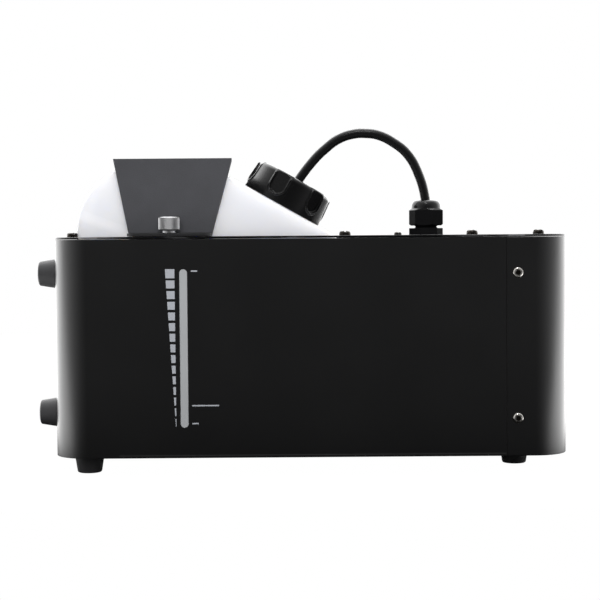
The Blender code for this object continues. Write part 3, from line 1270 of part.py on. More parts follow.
def make_power_switch():
    """Power switch: a bezel and box in the shell, and a rocker that tips in it."""
    x, z = SWITCH_X, BASE_Z + INLET_ABOVE_PAN
    front = REAR + CLEARANCE + SWITCH_BEZEL_THICKNESS
    half_width, half_height = SWITCH_WIDTH / 2, SWITCH_HEIGHT / 2
    border = SWITCH_WALL + SWITCH_BEZEL
    shape = bmesh.new()
    box(shape, (x - half_width - border, REAR + CLEARANCE, z - half_height - border),
        (x + half_width + border, front, z + half_height + border))
    switch = add_part("power_switch", finish_mesh("power_switch", shape), BLACK_PLASTIC)
    body = bmesh.new()
    box(body, (x - half_width - SWITCH_WALL, REAR - SWITCH_DEPTH, z - half_height - SWITCH_WALL),
        (x + half_width + SWITCH_WALL, REAR + CLEARANCE + SWITCH_BEZEL_THICKNESS / 2,
         z + half_height + SWITCH_WALL))
    join(switch, "switch_body", body)
    room = bmesh.new()
    box(room, (x - half_width, REAR - SWITCH_DEPTH / 2, z - half_height),
        (x + half_width, front + SHEET, z + half_height))
    cut(switch, "switch_room", room)

    rocker_half = half_height - 1.6 * SLIDE_FIT
    swing = rocker_half * sin(ROCKER_TILT)
    deep = 0.8 * swing
    outline = [(-rocker_half, -deep), (-rocker_half, swing), (0, swing / 2), (rocker_half, swing),
               (rocker_half, -deep), (0, -2 * deep)]
    shape = bmesh.new()
    rocker_width = SWITCH_WIDTH / 2 - SLIDE_FIT
    prism(shape, list(reversed(outline)), -rocker_width, rocker_width)
    upright = Matrix(((0, 0, 1, 0), (0, 1, 0, 0), (1, 0, 0, 0), (0, 0, 0, 1)))
    bmesh.ops.transform(shape, matrix=upright, verts=shape.verts)
    bmesh.ops.recalc_face_normals(shape, faces=shape.faces)
    rocker = add_part("power_rocker", finish_mesh("power_rocker", shape), BLACK_PLASTIC)
    rocker.location = (x, REAR, z)
    rocker.rotation_euler = (ROCKER_TILT, 0, 0)


def make_fuse():
    """Fuse holder through the shell, and its quarter-turn cap with a slot."""
    x, z = FUSE_X, BASE_Z + INLET_ABOVE_PAN
    wall_radius = FUSE_CAP_DIAMETER / 2
    bore = wall_radius - FUSE_WALL
    seat = CLEARANCE + FUSE_FLANGE
    floor = -FUSE_DEPTH + FUSE_WALL
    profile = [(bore, seat), (wall_radius + FUSE_WALL, seat), (wall_radius + FUSE_WALL, CLEARANCE),
               (wall_radius, CLEARANCE), (wall_radius, -FUSE_DEPTH), (0, -FUSE_DEPTH), (0, floor),
               (bore, floor)]
    holder = turned("fuse_holder", profile, BLACK_PLASTIC, 16)
    holder.location = (x, REAR, z)
    holder.rotation_euler = (radians(-90), 0, 0)
    low = seat + CLEARANCE
    plug = bore - SLIDE_FIT
    edge = FUSE_WALL / 2
    profile = [(0, seat + FUSE_CAP_HEIGHT), (wall_radius - edge, seat + FUSE_CAP_HEIGHT),
               (wall_radius, seat + FUSE_CAP_HEIGHT - edge), (wall_radius, low), (plug, low),
               (plug, floor / 2), (0, floor / 2)]
    cap = turned("fuse_cap", profile, BLACK_PLASTIC, 16)
    cap.location = (x, REAR, z)
    cap.rotation_euler = (radians(-90), 0, 0)
    slot = bmesh.new()
    box(slot, (-wall_radius, -FUSE_WALL / 3, seat + FUSE_CAP_HEIGHT / 2),
        (wall_radius, FUSE_WALL / 3, seat + 2 * FUSE_CAP_HEIGHT))
    cut(cap, "fuse_slot", slot)


def make_main_board():
    """Power and control board on four posts behind the rear of the shell."""
    x0, z0 = MAIN_BOARD_X0, BASE_Z + MAIN_BOARD_ABOVE_PAN
    x1, z1 = MAIN_BOARD_X1, z0 + MAIN_BOARD_HEIGHT
    back = REAR_INSIDE - CLEARANCE - BOARD_POST
    front = back - BOARD
    shape = bmesh.new()
    box(shape, (x0, front, z0), (x1, back, z1))
    board = add_part("main_board", finish_mesh("main_board", shape), BOARD_GREEN)
    pieces = bmesh.new()
    inset = BOARD_POST
    for x in (x0 + inset, x1 - inset):
        for z in (z0 + inset, z1 - inset):
            rod(pieces, (x, back - BOARD / 2, z), (x, back + BOARD_POST, z), BOARD_POST, segments=12)
    tall = 2 * BOARD_POST
    middle = front + BOARD / 2
    across, up = (x1 - x0) / 10, MAIN_BOARD_HEIGHT / 10
    box(pieces, (x0 + 2 * across, front - tall, z0 + 3 * up), (x0 + 5 * across, middle, z0 + 7 * up))
    box(pieces, (x0 + 6 * across, front - tall, z0 + 2 * up), (x0 + 8 * across, middle, z0 + 4 * up))
    rod(pieces, (x0 + 7 * across, middle, z0 + 6 * up), (x0 + 7 * across, front - tall, z0 + 6 * up),
        across, segments=16)
    join(board, "board_pieces", pieces)


def seat_in_case(middle):
    """Parent every solid to one empty, so that the origin is under the middle of the whole machine."""
    frame = bpy.data.objects.new("case_middle", None)
    frame.location = middle
    PARTS.objects.link(frame)
    for item in list(PARTS.objects) + list(CUTTERS.objects):
        if item is not frame:
            item.parent = frame


def main():
    make_base_pan()
    make_side_shell()
    make_end_cover()
    make_cover_screws()
    make_top_plate()
    make_feet()
    make_tank_well()
    make_level_window()
    make_fluid_tank()
    make_tank_cap()
    make_cap_seal()
    make_pickup()
    make_tank_strap()
    make_thumbscrews()
    make_gland()
    make_tank_hose()
    make_pump()
    make_heater()
    make_feed_tube()
    make_outlet_pipe()
    make_nozzle()
    make_lamps()
    make_control_panel()
    make_signal_sockets()
    make_mains_inlet()
    make_power_switch()
    make_fuse()
    make_main_board()
    seat_in_case(CASE_MIDDLE)


main()
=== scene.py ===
import json
from math import cos, pi, radians, sin, tan

import bmesh
import bpy
from bpy.props import FloatProperty, FloatVectorProperty, IntProperty, PointerProperty
from bpy.types import Operator, Panel, PropertyGroup
from mathutils import Matrix, Vector


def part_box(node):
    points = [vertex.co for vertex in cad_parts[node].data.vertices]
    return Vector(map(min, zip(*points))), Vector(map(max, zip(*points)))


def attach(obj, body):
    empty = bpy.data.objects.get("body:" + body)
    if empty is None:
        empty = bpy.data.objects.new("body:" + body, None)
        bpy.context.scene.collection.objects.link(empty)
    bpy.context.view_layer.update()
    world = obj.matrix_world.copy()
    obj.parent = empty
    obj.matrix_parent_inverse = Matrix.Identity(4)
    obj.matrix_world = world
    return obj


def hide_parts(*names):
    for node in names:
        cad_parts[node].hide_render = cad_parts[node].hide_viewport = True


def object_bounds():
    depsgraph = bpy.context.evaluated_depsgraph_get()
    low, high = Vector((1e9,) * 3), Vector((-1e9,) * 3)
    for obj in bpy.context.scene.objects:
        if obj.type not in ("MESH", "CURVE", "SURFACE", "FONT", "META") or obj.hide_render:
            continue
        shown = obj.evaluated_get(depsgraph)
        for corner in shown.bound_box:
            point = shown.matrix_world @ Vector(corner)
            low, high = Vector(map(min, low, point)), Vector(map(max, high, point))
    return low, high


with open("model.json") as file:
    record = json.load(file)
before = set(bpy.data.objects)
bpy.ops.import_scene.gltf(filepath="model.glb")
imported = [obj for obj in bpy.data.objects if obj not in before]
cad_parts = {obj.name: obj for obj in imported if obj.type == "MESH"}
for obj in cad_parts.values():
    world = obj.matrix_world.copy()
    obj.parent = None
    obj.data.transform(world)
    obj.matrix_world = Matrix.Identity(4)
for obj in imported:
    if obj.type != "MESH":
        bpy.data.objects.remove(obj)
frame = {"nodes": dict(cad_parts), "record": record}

bl_info = {
    "name": "Fog machine dressing",
    "version": (1, 0, 0),
    "blender": (4, 5, 0),
    "location": "View3D > Sidebar > Fog machine",
    "description": "Dresses the packed solids of a fog machine with finished meshes and materials",
    "category": "Object",
}

FINISH = "finish_"
MERGE = 1e-6
CREASE = radians(35)
AROUND = 64
FULL_TURN = 2 * pi
FACING_FRONT = Matrix.Rotation(pi / 2, 4, "X")
FACING_REAR = Matrix.Rotation(pi, 4, "Z") @ FACING_FRONT
FACING_RIGHT = Matrix.Rotation(pi / 2, 4, "Z") @ FACING_FRONT
FACING_LEFT = Matrix.Rotation(-pi / 2, 4, "Z") @ FACING_FRONT
FACING_DOWN = Matrix.Rotation(pi, 4, "X")

CAD_LOW, CAD_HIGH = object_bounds()
SHELL_LOW, SHELL_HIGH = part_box("side_shell")
COVER_LOW, COVER_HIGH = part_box("end_cover")
PLATE_LOW, PLATE_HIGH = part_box("top_plate")
TANK_LOW, TANK_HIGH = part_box("fluid_tank")
STRAP_LOW, STRAP_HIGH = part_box("tank_strap")
LEFT, RIGHT = PLATE_LOW.x, PLATE_HIGH.x
FRONT, REAR = PLATE_LOW.y, PLATE_HIGH.y
TOP = PLATE_HIGH.z
BASE = SHELL_LOW.z
SEAM = COVER_LOW.x
TANK_Y = (TANK_LOW.y + TANK_HIGH.y) / 2
TANK_BULGE = 0.0035


def middle(node):
    """Give the middle of a solid's box."""
    low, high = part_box(node)
    return (low + high) / 2


def length(name, description, default):
    """Describe a length in metres."""
    return FloatProperty(name=name, description=description, default=default, unit="LENGTH", precision=5)


def colour(name, description, default):
    """Describe a colour."""
    return FloatVectorProperty(name=name, description=description, default=default, subtype="COLOR",
                               min=0.0, max=1.0)


class FogCase(PropertyGroup):
    """Sizes of the sheet-metal case and what is fixed to it."""

    sheet: length("Sheet", "Thickness of the case's sheet", 0.0012)
    corner: length("Corner radius", "Outer radius of the case's four upright corners", 0.024)
    lap: length("Lap", "How far the shell goes on under the end cover", 0.014)
    edge: length("Edge rounding", "Rounding of the sheet's cut edges", 0.00035)
    dish: length("Screw dish", "Diameter of the pressed dish round each cover screw", 0.0098)
    lid_screw: length("Lid screw", "Diameter of the lid's screw heads", 0.0078)
    screw_head: length("Screw head", "Diameter of the pan-head screws", 0.0072)
    foot_round: length("Foot rounding", "Rounding of a foot's rims", 0.0011)
    window_width: length("Window width", "Width of the level window", 0.0055)
    window_length: length("Window length", "Length of the level window", 0.1065)
    bar_pitch: length("Bar pitch", "Spacing of the printed level bars", 0.00713)
    bar_count: IntProperty(name="Bars", description="Number of printed level bars", default=15, min=2)


class FogTank(PropertyGroup):
    """Sizes of the fluid tank, its cap, its strap and the hose."""

    mesh_step: length("Tank mesh", "Mesh size that the blown tank is smoothed at", 0.0022)
    soft_rounds: IntProperty(name="Tank softness", description="Rounds of smoothing of the tank's edges",
                             default=26, min=0)
    cap_diameter: length("Cap diameter", "Outer diameter of the cap", 0.0594)
    cap_height: length("Cap height", "Height of the cap along its axis", 0.0214)
    pocket: length("Cap pocket", "Width of a finger pocket in the cap's side", 0.0112)
    strap: length("Strap thickness", "Thickness of the strap's sheet", 0.002)
    strap_foot: length("Strap foot", "Width of the strap where it meets the plate", 0.0564)
    strap_rear: length("Strap rear", "Width of the strap's top at the rear", 0.0660)
    knob: length("Knob diameter", "Diameter of a thumbscrew's knurled head", 0.0142)
    ridges: IntProperty(name="Knob ridges", description="Ridges round a thumbscrew", default=60, min=12)
    hose: length("Hose diameter", "Outer diameter of the hose", 0.0067)


class FogColours(PropertyGroup):
    """Colours of the finishes."""

    paint: colour("Case paint", "Powder coat of the case", (0.0032, 0.0032, 0.0035))
    strap: colour("Strap paint", "Textured grey of the strap", (0.054, 0.055, 0.062))
    tank: colour("Tank", "Milky plastic of the tank", (0.85, 0.857, 0.90))
    rubber: colour("Rubber", "Feet and seals", (0.034, 0.034, 0.036))
    plastic: colour("Black plastic", "Cap, gland and fittings", (0.0036, 0.0036, 0.0039))
    # Painted shade: this grey stands for the white tank, in shade, seen through the level slot.
    window: colour("Window", "Level window seen over the empty tank", (0.38, 0.39, 0.40))
    ink: colour("Print", "Printed level bars and tick lines", (0.38, 0.395, 0.43))
    steel: colour("Bright steel", "Thumbscrews and screw heads", (0.53, 0.53, 0.54))


class FogStudio(PropertyGroup):
    """The camera and the light."""

    distance: length("Camera distance", "Camera to the case's front", 1.000)
    height: length("Camera height", "Camera above the floor", 0.1615)
    lens: FloatProperty(name="Lens", description="Focal length in millimetres", default=90.0, unit="CAMERA")
    pitch: FloatProperty(name="Pitch", description="How far the camera looks down", default=radians(2.44),
                         unit="ROTATION")
    roll: FloatProperty(name="Roll", description="How far the camera leans", default=radians(0.42),
                        unit="ROTATION")
    overhead: FloatProperty(name="Overhead", description="Power of the overhead panel", default=3.0)
    glint: FloatProperty(name="Glint", description="Power of the small hard panel", default=3.0)
    fill: FloatProperty(name="Fill", description="Power of the front panel", default=12.0)


class Wire:
    """A shader socket that takes part in arithmetic."""

    def __init__(self, network, socket):
        self.network = network
        self.socket = socket

    def other(self, name):
        """Give another output of the same node."""
        return Wire(self.network, self.socket.node.outputs[name])

    def math(self, operation, first, second):
        return self.network.node("ShaderNodeMath", {"operation": operation}, {0: first, 1: second})

    def __add__(self, other):
        return self.math("ADD", self, other)

    def __radd__(self, other):
        return self.math("ADD", other, self)

    def __sub__(self, other):
        return self.math("SUBTRACT", self, other)

    def __rsub__(self, other):
        return self.math("SUBTRACT", other, self)

    def __mul__(self, other):
        return self.math("MULTIPLY", self, other)

    def __rmul__(self, other):
        return self.math("MULTIPLY", other, self)

    def __truediv__(self, other):
        return self.math("DIVIDE", self, other)

    def __rtruediv__(self, other):
        return self.math("DIVIDE", other, self)

    def __gt__(self, other):
        return self.math("GREATER_THAN", self, other)

    def __lt__(self, other):
        return self.math("LESS_THAN", self, other)


class Network:
    """The nodes of one material or world."""

    def __init__(self, owner):
        owner.use_nodes = True
        self.tree = owner.node_tree
        self.tree.nodes.clear()

    def node(self, kind, settings=None, inputs=None, output=0):
        """Add a node, set it up, then give its sockets their values or links."""
        made = self.tree.nodes.new(kind)
        for name, value in (settings or {}).items():
            setattr(made, name, value)
        for name, value in (inputs or {}).items():
            if isinstance(value, Wire):
                self.tree.links.new(value.socket, made.inputs[name])
            else:
                made.inputs[name].default_value = value
        return Wire(self, made.outputs[output]) if made.outputs else None

    def ramp(self, value, start, end, low=0.0, high=1.0):
        """Go smoothly from one number to another."""
        return self.node("ShaderNodeMapRange", {"interpolation_type": "SMOOTHSTEP"},
                         {"Value": value, "From Min": start, "From Max": end, "To Min": low, "To Max": high})

    def choose(self, factor, first, second):
        """Mix two shaders."""
        return self.node("ShaderNodeMixShader", None, {0: factor, 1: first, 2: second})


class Finish(Network):
    """A Principled material whose unevenness comes from object coordinates."""

    def __init__(self, name):
        self.material = bpy.data.materials.new(FINISH + name)
        super().__init__(self.material)
        self.place = self.node("ShaderNodeTexCoord", output="Object")

    def stretched(self, x, y, z):
        return self.node("ShaderNodeMapping", None, {"Vector": self.place, "Scale": (x, y, z)})

    def noise(self, scale, detail=2.0, place=None):
        return self.node("ShaderNodeTexNoise", None,
                         {"Vector": place or self.place, "Scale": scale, "Detail": detail})

    def along(self, axis):
        return self.node("ShaderNodeSeparateXYZ", None, {"Vector": self.place}, axis)

    def mix(self, factor, first, second):
        return self.node("ShaderNodeMix", {"data_type": "RGBA"}, {0: factor, 6: first, 7: second}, 2)

    def bump(self, height, depth):
        return self.node("ShaderNodeBump", None, {"Height": height, "Distance": depth})

    def shade(self, factor, tone, spread):
        """Let a tone run a little darker and lighter."""
        return self.mix(factor, opaque(tone, 1 - spread), opaque(tone, 1 + spread))

    def close(self, values):
        surface = self.node("ShaderNodeBsdfPrincipled", None, values)
        self.node("ShaderNodeOutputMaterial", None, {"Surface": surface})
        return self.material


def opaque(tone, gain=1.0):
    """Give a colour its fourth value, made lighter or darker by a gain."""
    return (*(min(1.0, value * gain) for value in tone), 1.0)


def plain(name, tone, roughness, grain, depth, spread=0.08, **constants):
    """A finish with faint clouds in its colour and gloss and a fine grain."""
    finish = Finish(name)
    clouds = finish.noise(35.0, 3.0)
    values = {
        "Base Color": finish.shade(clouds, tone, spread),
        "Roughness": clouds * 0.12 + (roughness - 0.06),
        "Normal": finish.bump(finish.noise(grain), depth),
    }
    values.update({key.replace("_", " ").title(): value for key, value in constants.items()})
    values = {key.replace("Ior", "IOR"): value for key, value in values.items()}
    return finish.close(values)


def case_paint(colours):
    """Smooth black powder coat with orange peel, a little dust and a painted highlight line along the front's
    bottom edge.
    """
    finish = Finish("case_paint")
    clouds = finish.noise(22.0, 3.0)
    dust = finish.ramp(finish.noise(2300.0, 1.0), 0.74, 0.80)
    rise = finish.along("Z") - BASE
    across = finish.along("X")
    # A thin paler line just above the base on the front is a painted highlight: light caught by the shell's
    # bottom edge.
    lip_highlight = (rise > 0.0015) * (rise < 0.0021) * (across > LEFT + 0.045) * (across < SEAM)
    # Paler flecks are real dust; the line is the painted edge highlight.
    dust_and_highlight = dust * 0.12 + lip_highlight * 0.16
    return finish.close({
        "Base Color": finish.mix(dust_and_highlight, opaque(colours.paint), opaque((0.12, 0.12, 0.12))),
        "Roughness": clouds * 0.10 + 0.27,
        "Normal": finish.bump(finish.noise(650.0, 1.5), 0.000012),
        "Specular IOR Level": 0.75,
    })


def plate_paint(colours):
    """The case's paint, with painted highlights and a little grey wear along the top plate's front edge."""
    finish = Finish("plate_paint")
    clouds = finish.noise(22.0, 3.0)
    edge = finish.along("Y") < FRONT + 0.0007
    patch = finish.ramp(finish.noise(26.0, 4.0), 0.50, 0.62)
    streak = finish.ramp(finish.noise(420.0, 2.0, finish.stretched(0.12, 1.0, 1.0)), 0.42, 0.60)
    across = finish.along("X") - LEFT
    # Painted highlight: a bright reflection on the front edge, strong over this span and fading out beyond
    # it.
    side = (across > 0.0193) * (across < 0.0319)
    side = side + (across > 0.0319) * finish.ramp(across, 0.049, 0.032, 0.0, 0.4)
    # Painted highlight: thin bright reflections on the front edge in the middle and near the right end.
    centre = (across > 0.152) * (across < 0.188) + (across > 0.306) * (across < 0.317)
    # Grey on the front edge: mostly painted highlights, plus faint patches of real wear.
    wear_and_highlight = edge * (side * (streak * 0.4 + 0.6) + streak * (patch * 0.15 + centre * 0.4))
    return finish.close({
        "Base Color": finish.mix(wear_and_highlight * 0.8, opaque(colours.paint), opaque((0.30, 0.30, 0.31))),
        "Roughness": clouds * 0.10 + 0.27,
        "Normal": finish.bump(finish.noise(650.0, 1.5), 0.000012),
        "Coat Weight": 0.4 - edge * 0.4,
        "Coat Roughness": 0.30,
        "Specular IOR Level": 0.12,
    })


def strap_paint(colours):
    """Fine textured grey paint, with the foot flange painted near black as painted shade."""
    finish = Finish("strap_paint")
    grain = finish.noise(1500.0, 2.0)
    patches = finish.noise(70.0, 4.0)
    # Painted shade: the foot flange, edge-on above the plate, is made almost as dark as the case's black.
    flange = finish.along("Z") < TOP + 0.0027
    tone = finish.shade(grain * 0.6 + patches * 0.4, colours.strap, 0.40)
    return finish.close({
        "Base Color": finish.mix(flange * 0.85, tone, opaque(colours.paint)),
        "Roughness": grain * 0.16 + 0.46,
        "Normal": finish.bump(grain, 0.00010),
    })


def tank_plastic(colours):
    """Milky blow-moulded plastic with a faint parting line."""
    finish = Finish("tank_plastic")
    clouds = finish.noise(16.0, 3.0)
    off = finish.along("Y") - TANK_Y
    parting = finish.ramp(off * off, 0.0, 0.0006 ** 2, 1.0, 0.0)
    across = finish.along("X")
    slant = finish.along("Z") + across * 0.386 - (TOP + 0.0152 - 0.1497 * 0.386)
    wall = clouds + finish.noise(300.0, 2.0) * 0.06
    crease = finish.ramp(slant, 0.0045, -0.0045) * (across < -0.10)
    return finish.close({
        "Base Color": finish.shade(clouds, colours.tank, 0.03),
        "Roughness": clouds * 0.12 + 0.32,
        "Normal": finish.bump(wall + parting * 0.4 + crease * 2.0, 0.0006),
        "Subsurface Weight": 0.6,
        "Subsurface Radius": (0.014, 0.015, 0.017),
        "Subsurface Scale": 1.0,
        "Specular IOR Level": 0.4,
    })


def gland_nylon():
    """Dull black nylon, polished on the nut's round top."""
    finish = Finish("gland_nylon")
    clouds = finish.noise(35.0, 3.0)
    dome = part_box("gland_nut")[0].z + 0.0100
    return finish.close({
        "Base Color": finish.shade(clouds, (0.0075, 0.0075, 0.0080), 0.12),
        "Roughness": clouds * 0.12 + 0.34,
        "Normal": finish.bump(finish.noise(1000.0), 0.00001),
        "Coat Weight": finish.ramp(finish.along("Z"), dome, dome + 0.0005, 0.0, 0.7),
        "Coat Roughness": 0.16,
        "Specular IOR Level": 0.002,
    })


def brushed(name, tone, roughness, x, y, z):
    """Bare metal with fine lines; the smaller a factor, the longer the lines along that axis."""
    finish = Finish(name)
    lines = finish.noise(1400.0, 2.0, finish.stretched(x, y, z))
    clouds = finish.noise(40.0, 3.0)
    return finish.close({
        "Base Color": finish.shade(clouds, tone, 0.10),
        "Roughness": lines * 0.16 + clouds * 0.08 + (roughness - 0.12),
        "Metallic": 1.0,
        "Normal": finish.bump(lines, 0.00002),
    })


def clear(name, tone, roughness, ior):
    """Clear moulded plastic with faint flow lines."""
    finish = Finish(name)
    flow = finish.noise(60.0, 2.0)
    return finish.close({
        "Base Color": finish.shade(flow, tone, 0.03),
        "Roughness": flow * 0.05 + roughness,
        "Normal": finish.bump(flow, 0.00006),
        "Transmission Weight": 0.85,
        "IOR": ior,
    })


def circuit_board(name):
    """Green lacquered board with paler tracks and tinned spots."""
    finish = Finish(name)
    tracks = finish.node("ShaderNodeTexVoronoi", {"distance": "MANHATTAN", "feature": "DISTANCE_TO_EDGE"},
                         {"Vector": finish.place, "Scale": 170.0})
    spots = finish.node("ShaderNodeTexVoronoi", {"feature": "F1"},
                        {"Vector": finish.place, "Scale": 260.0})
    track = finish.ramp(tracks, 0.10, 0.06)
    spot = finish.ramp(spots, 0.20, 0.14)
    green = finish.mix(track, opaque((0.006, 0.050, 0.018)), opaque((0.016, 0.105, 0.040)))
    return finish.close({
        "Base Color": finish.mix(spot, green, opaque((0.62, 0.61, 0.58))),
        "Roughness": 0.42 - spot * 0.14,
        "Metallic": spot * 0.9,
        "Normal": finish.bump(track + spot, 0.00005),
    })


def make_finishes(colours):
    """Make every material that the pieces use."""
    black = colours.plastic
    case_paint(colours)
    plate_paint(colours)
    strap_paint(colours)
    tank_plastic(colours)
    plain("foot_rubber", colours.rubber, 0.56, 900.0, 0.00008, 0.20)
    plain("seal_rubber", colours.rubber, 0.50, 700.0, 0.00005, 0.10)
    plain("hose_rubber", black, 0.34, 500.0, 0.00001, 0.10, specular_ior_level=0.30)
    plain("cap_plastic", (0.0012, 0.0012, 0.0014), 0.26, 1100.0, 0.00002, 0.12, specular_ior_level=0.38)
    gland_nylon()
    plain("black_plastic", black, 0.44, 1300.0, 0.00004, 0.12)
    plain("dark_screw", (0.026, 0.023, 0.020), 0.32, 900.0, 0.00002, 0.25, metallic=1.0)
    # The window's grey is painted shade of the white tank behind the slot.
    plain("window_plastic", colours.window, 0.30, 240.0, 0.00002, 0.05, coat_weight=0.3)
    plain("print_ink", colours.ink, 0.55, 900.0, 0.00001, 0.05)
    plain("display_glass", (0.010, 0.014, 0.020), 0.09, 120.0, 0.00001, 0.10, coat_weight=0.5)
    plain("cast_aluminium", (0.52, 0.52, 0.53), 0.46, 420.0, 0.00025, 0.12, metallic=1.0)
    brushed("bright_steel", colours.steel, 0.36, 1.0, 1.0, 0.06)
    brushed("screw_steel", (0.62, 0.60, 0.57), 0.26, 1.0, 1.0, 1.0)
    brushed("zinc_plate", (0.46, 0.47, 0.48), 0.38, 0.08, 1.0, 1.0)
    brushed("brass", (0.66, 0.44, 0.17), 0.28, 0.10, 1.0, 1.0)
    brushed("copper", (0.68, 0.31, 0.18), 0.31, 0.10, 1.0, 1.0)
    circuit_board("circuit_board")
    clear("clear_plastic", (0.93, 0.94, 0.95), 0.05, 1.49)


def at(x, y, z, turn=None):
    """Give the matrix that turns a shape and moves it to a place."""
    move = Matrix.Translation((x, y, z))
    return move @ turn if turn else move


def put(shape, matrix):
    """Move a whole shape."""
    bmesh.ops.transform(shape, matrix=matrix, verts=shape.verts)
    return shape


def new_verts(made, key="geom"):
    """Pick the vertices out of what an operator made."""
    return [item for item in made[key] if isinstance(item, bmesh.types.BMVert)]


def gather(*shapes):
    """Put several shapes into the first of them."""
    first = shapes[0]
    for shape in shapes[1:]:
        carrier = bpy.data.meshes.new("carrier")
        shape.to_mesh(carrier)
        shape.free()
        first.from_mesh(carrier)
        bpy.data.meshes.remove(carrier)
    return first


def spun(profile, steps=AROUND, closed=False):
    """Turn a profile of (radius, height) pairs right round Z."""
    shape = bmesh.new()
    line = [shape.verts.new((radius, 0, height)) for radius, height in profile]
    pairs = list(zip(line, line[1:])) + ([(line[-1], line[0])] if closed else [])
    edges = [shape.edges.new(pair) for pair in pairs]
    bmesh.ops.spin(shape, geom=line + edges, cent=(0, 0, 0), axis=(0, 0, 1), angle=FULL_TURN,
                   steps=steps, use_merge=True)
    bmesh.ops.remove_doubles(shape, verts=shape.verts, dist=MERGE)
    bmesh.ops.recalc_face_normals(shape, faces=shape.faces)
    return shape


def raised(shape, height):
    """Extrude a flat shape upwards into a solid."""
    made = bmesh.ops.extrude_face_region(shape, geom=shape.faces[:])
    bmesh.ops.translate(shape, vec=(0, 0, height), verts=new_verts(made))
    bmesh.ops.recalc_face_normals(shape, faces=shape.faces)
    return shape


def sheet_face(width, depth, radius, segments=10):
    """Make a flat rectangle with round corners about the origin."""
    shape = bmesh.new()
    bmesh.ops.create_grid(shape, x_segments=1, y_segments=1, size=0.5)
    bmesh.ops.scale(shape, vec=(width, depth, 1), verts=shape.verts)
    if radius:
        bmesh.ops.bevel(shape, geom=shape.verts[:], offset=radius, offset_type="OFFSET",
                        affect="VERTICES", segments=segments, profile=0.5, material=-1)
        bmesh.ops.remove_doubles(shape, verts=shape.verts, dist=MERGE)
    return shape


def slab(width, depth, height, radius=0.0, segments=10):
    """Make a plate with round corners, standing on the origin."""
    return raised(sheet_face(width, depth, radius, segments), height)


def rod(diameter, height, segments=AROUND):
    """Make a cylinder that stands on the origin."""
    shape = bmesh.new()
    bmesh.ops.create_cone(shape, cap_ends=True, segments=segments, radius1=diameter / 2,
                          radius2=diameter / 2, depth=height, matrix=at(0, 0, height / 2))
    return shape


def block(low, high):
    """Make a box between two corners."""
    low, high = Vector(low), Vector(high)
    shape = bmesh.new()
    bmesh.ops.create_cube(shape, size=1, matrix=at(*((low + high) / 2)) @ Matrix.Diagonal((*(high - low), 1)))
    return shape


def soften(shape, width, segments=3, sharper=radians(30), where=None):
    """Round the edges that are sharper than an angle."""
    edges = [edge for edge in shape.edges if len(edge.link_faces) == 2
             and edge.calc_face_angle() > sharper and (where is None or where(edge))]
    bmesh.ops.bevel(shape, geom=edges, offset=width, offset_type="OFFSET", affect="EDGES",
                    segments=segments, profile=0.5, clamp_overlap=True, material=-1)
    return shape


def stand_in(shape):
    """Give a shape a short-lived object."""
    carrier = bpy.data.meshes.new("carrier")
    shape.to_mesh(carrier)
    shape.free()
    holder = bpy.data.objects.new("carrier", carrier)
    bpy.context.scene.collection.objects.link(holder)
    return holder


def settle(shape, *steps):
    """Put a shape through modifiers, each a kind with its settings, and give what comes out."""
    holder = stand_in(shape)
    carriers = [holder]
    for kind, settings in steps:
        step = holder.modifiers.new(kind, kind)
        for name, value in settings.items():
            if isinstance(value, bmesh.types.BMesh):
                value = stand_in(value)
                carriers.append(value)
            setattr(step, name, value)
    result = bmesh.new()
    result.from_object(holder, bpy.context.evaluated_depsgraph_get())
    for item in carriers:
        mesh = item.data
        bpy.data.objects.remove(item)
        bpy.data.meshes.remove(mesh)
    bmesh.ops.remove_doubles(result, verts=result.verts, dist=MERGE)
    return result


def carve(shape, *tools, operation="DIFFERENCE"):
    """Cut one or more tools out of a shape."""
    steps = [("BOOLEAN", {"operation": operation, "solver": "EXACT", "object": tool}) for tool in tools]
    return settle(shape, *steps)


def new_piece(name, shape, body, finish, replaces=(), crease=CREASE):
    """Make a finished object that rides on a body."""
    mesh = bpy.data.meshes.new(name)
    shape.to_mesh(mesh)
    shape.free()
    mesh.materials.append(bpy.data.materials[FINISH + finish])
    mesh.shade_smooth()
    mesh.set_sharp_from_angle(angle=crease)
    piece = bpy.data.objects.new(name, mesh)
    bpy.context.scene.collection.objects.link(piece)
    even = piece.modifiers.new("even_normals", "WEIGHTED_NORMAL")
    even.keep_sharp = True
    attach(piece, body)
    if replaces:
        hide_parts(*replaces)
    return piece


CAP_SEAT = Vector((-0.01345, TANK_Y, TOP + 0.0211))
CAP_TILT = radians(29.6)
CAP_AXIS = Vector((sin(CAP_TILT), 0, cos(CAP_TILT)))
CAP_PLACE = at(*CAP_SEAT, Matrix.Rotation(CAP_TILT, 4, "Y"))
HOSE_START = (0.0100, 0.0180)
HOSE_SHIFT = Vector((0.0015, 0, -0.0008))
HOSE_RISE = 0.026
HOSE_ARCH = ((0.1230, 0.0536), (0.2035, 0.0606), (0.3174, 0.0680), (0.4382, 0.0714), (0.5296, 0.0717),
             (0.6221, 0.0705), (0.7462, 0.0651), (0.8579, 0.0566), (0.9436, 0.0424), (0.9932, 0.0262))
HOSE_END = (0.0174, -0.0033, -0.0240, -0.0447)


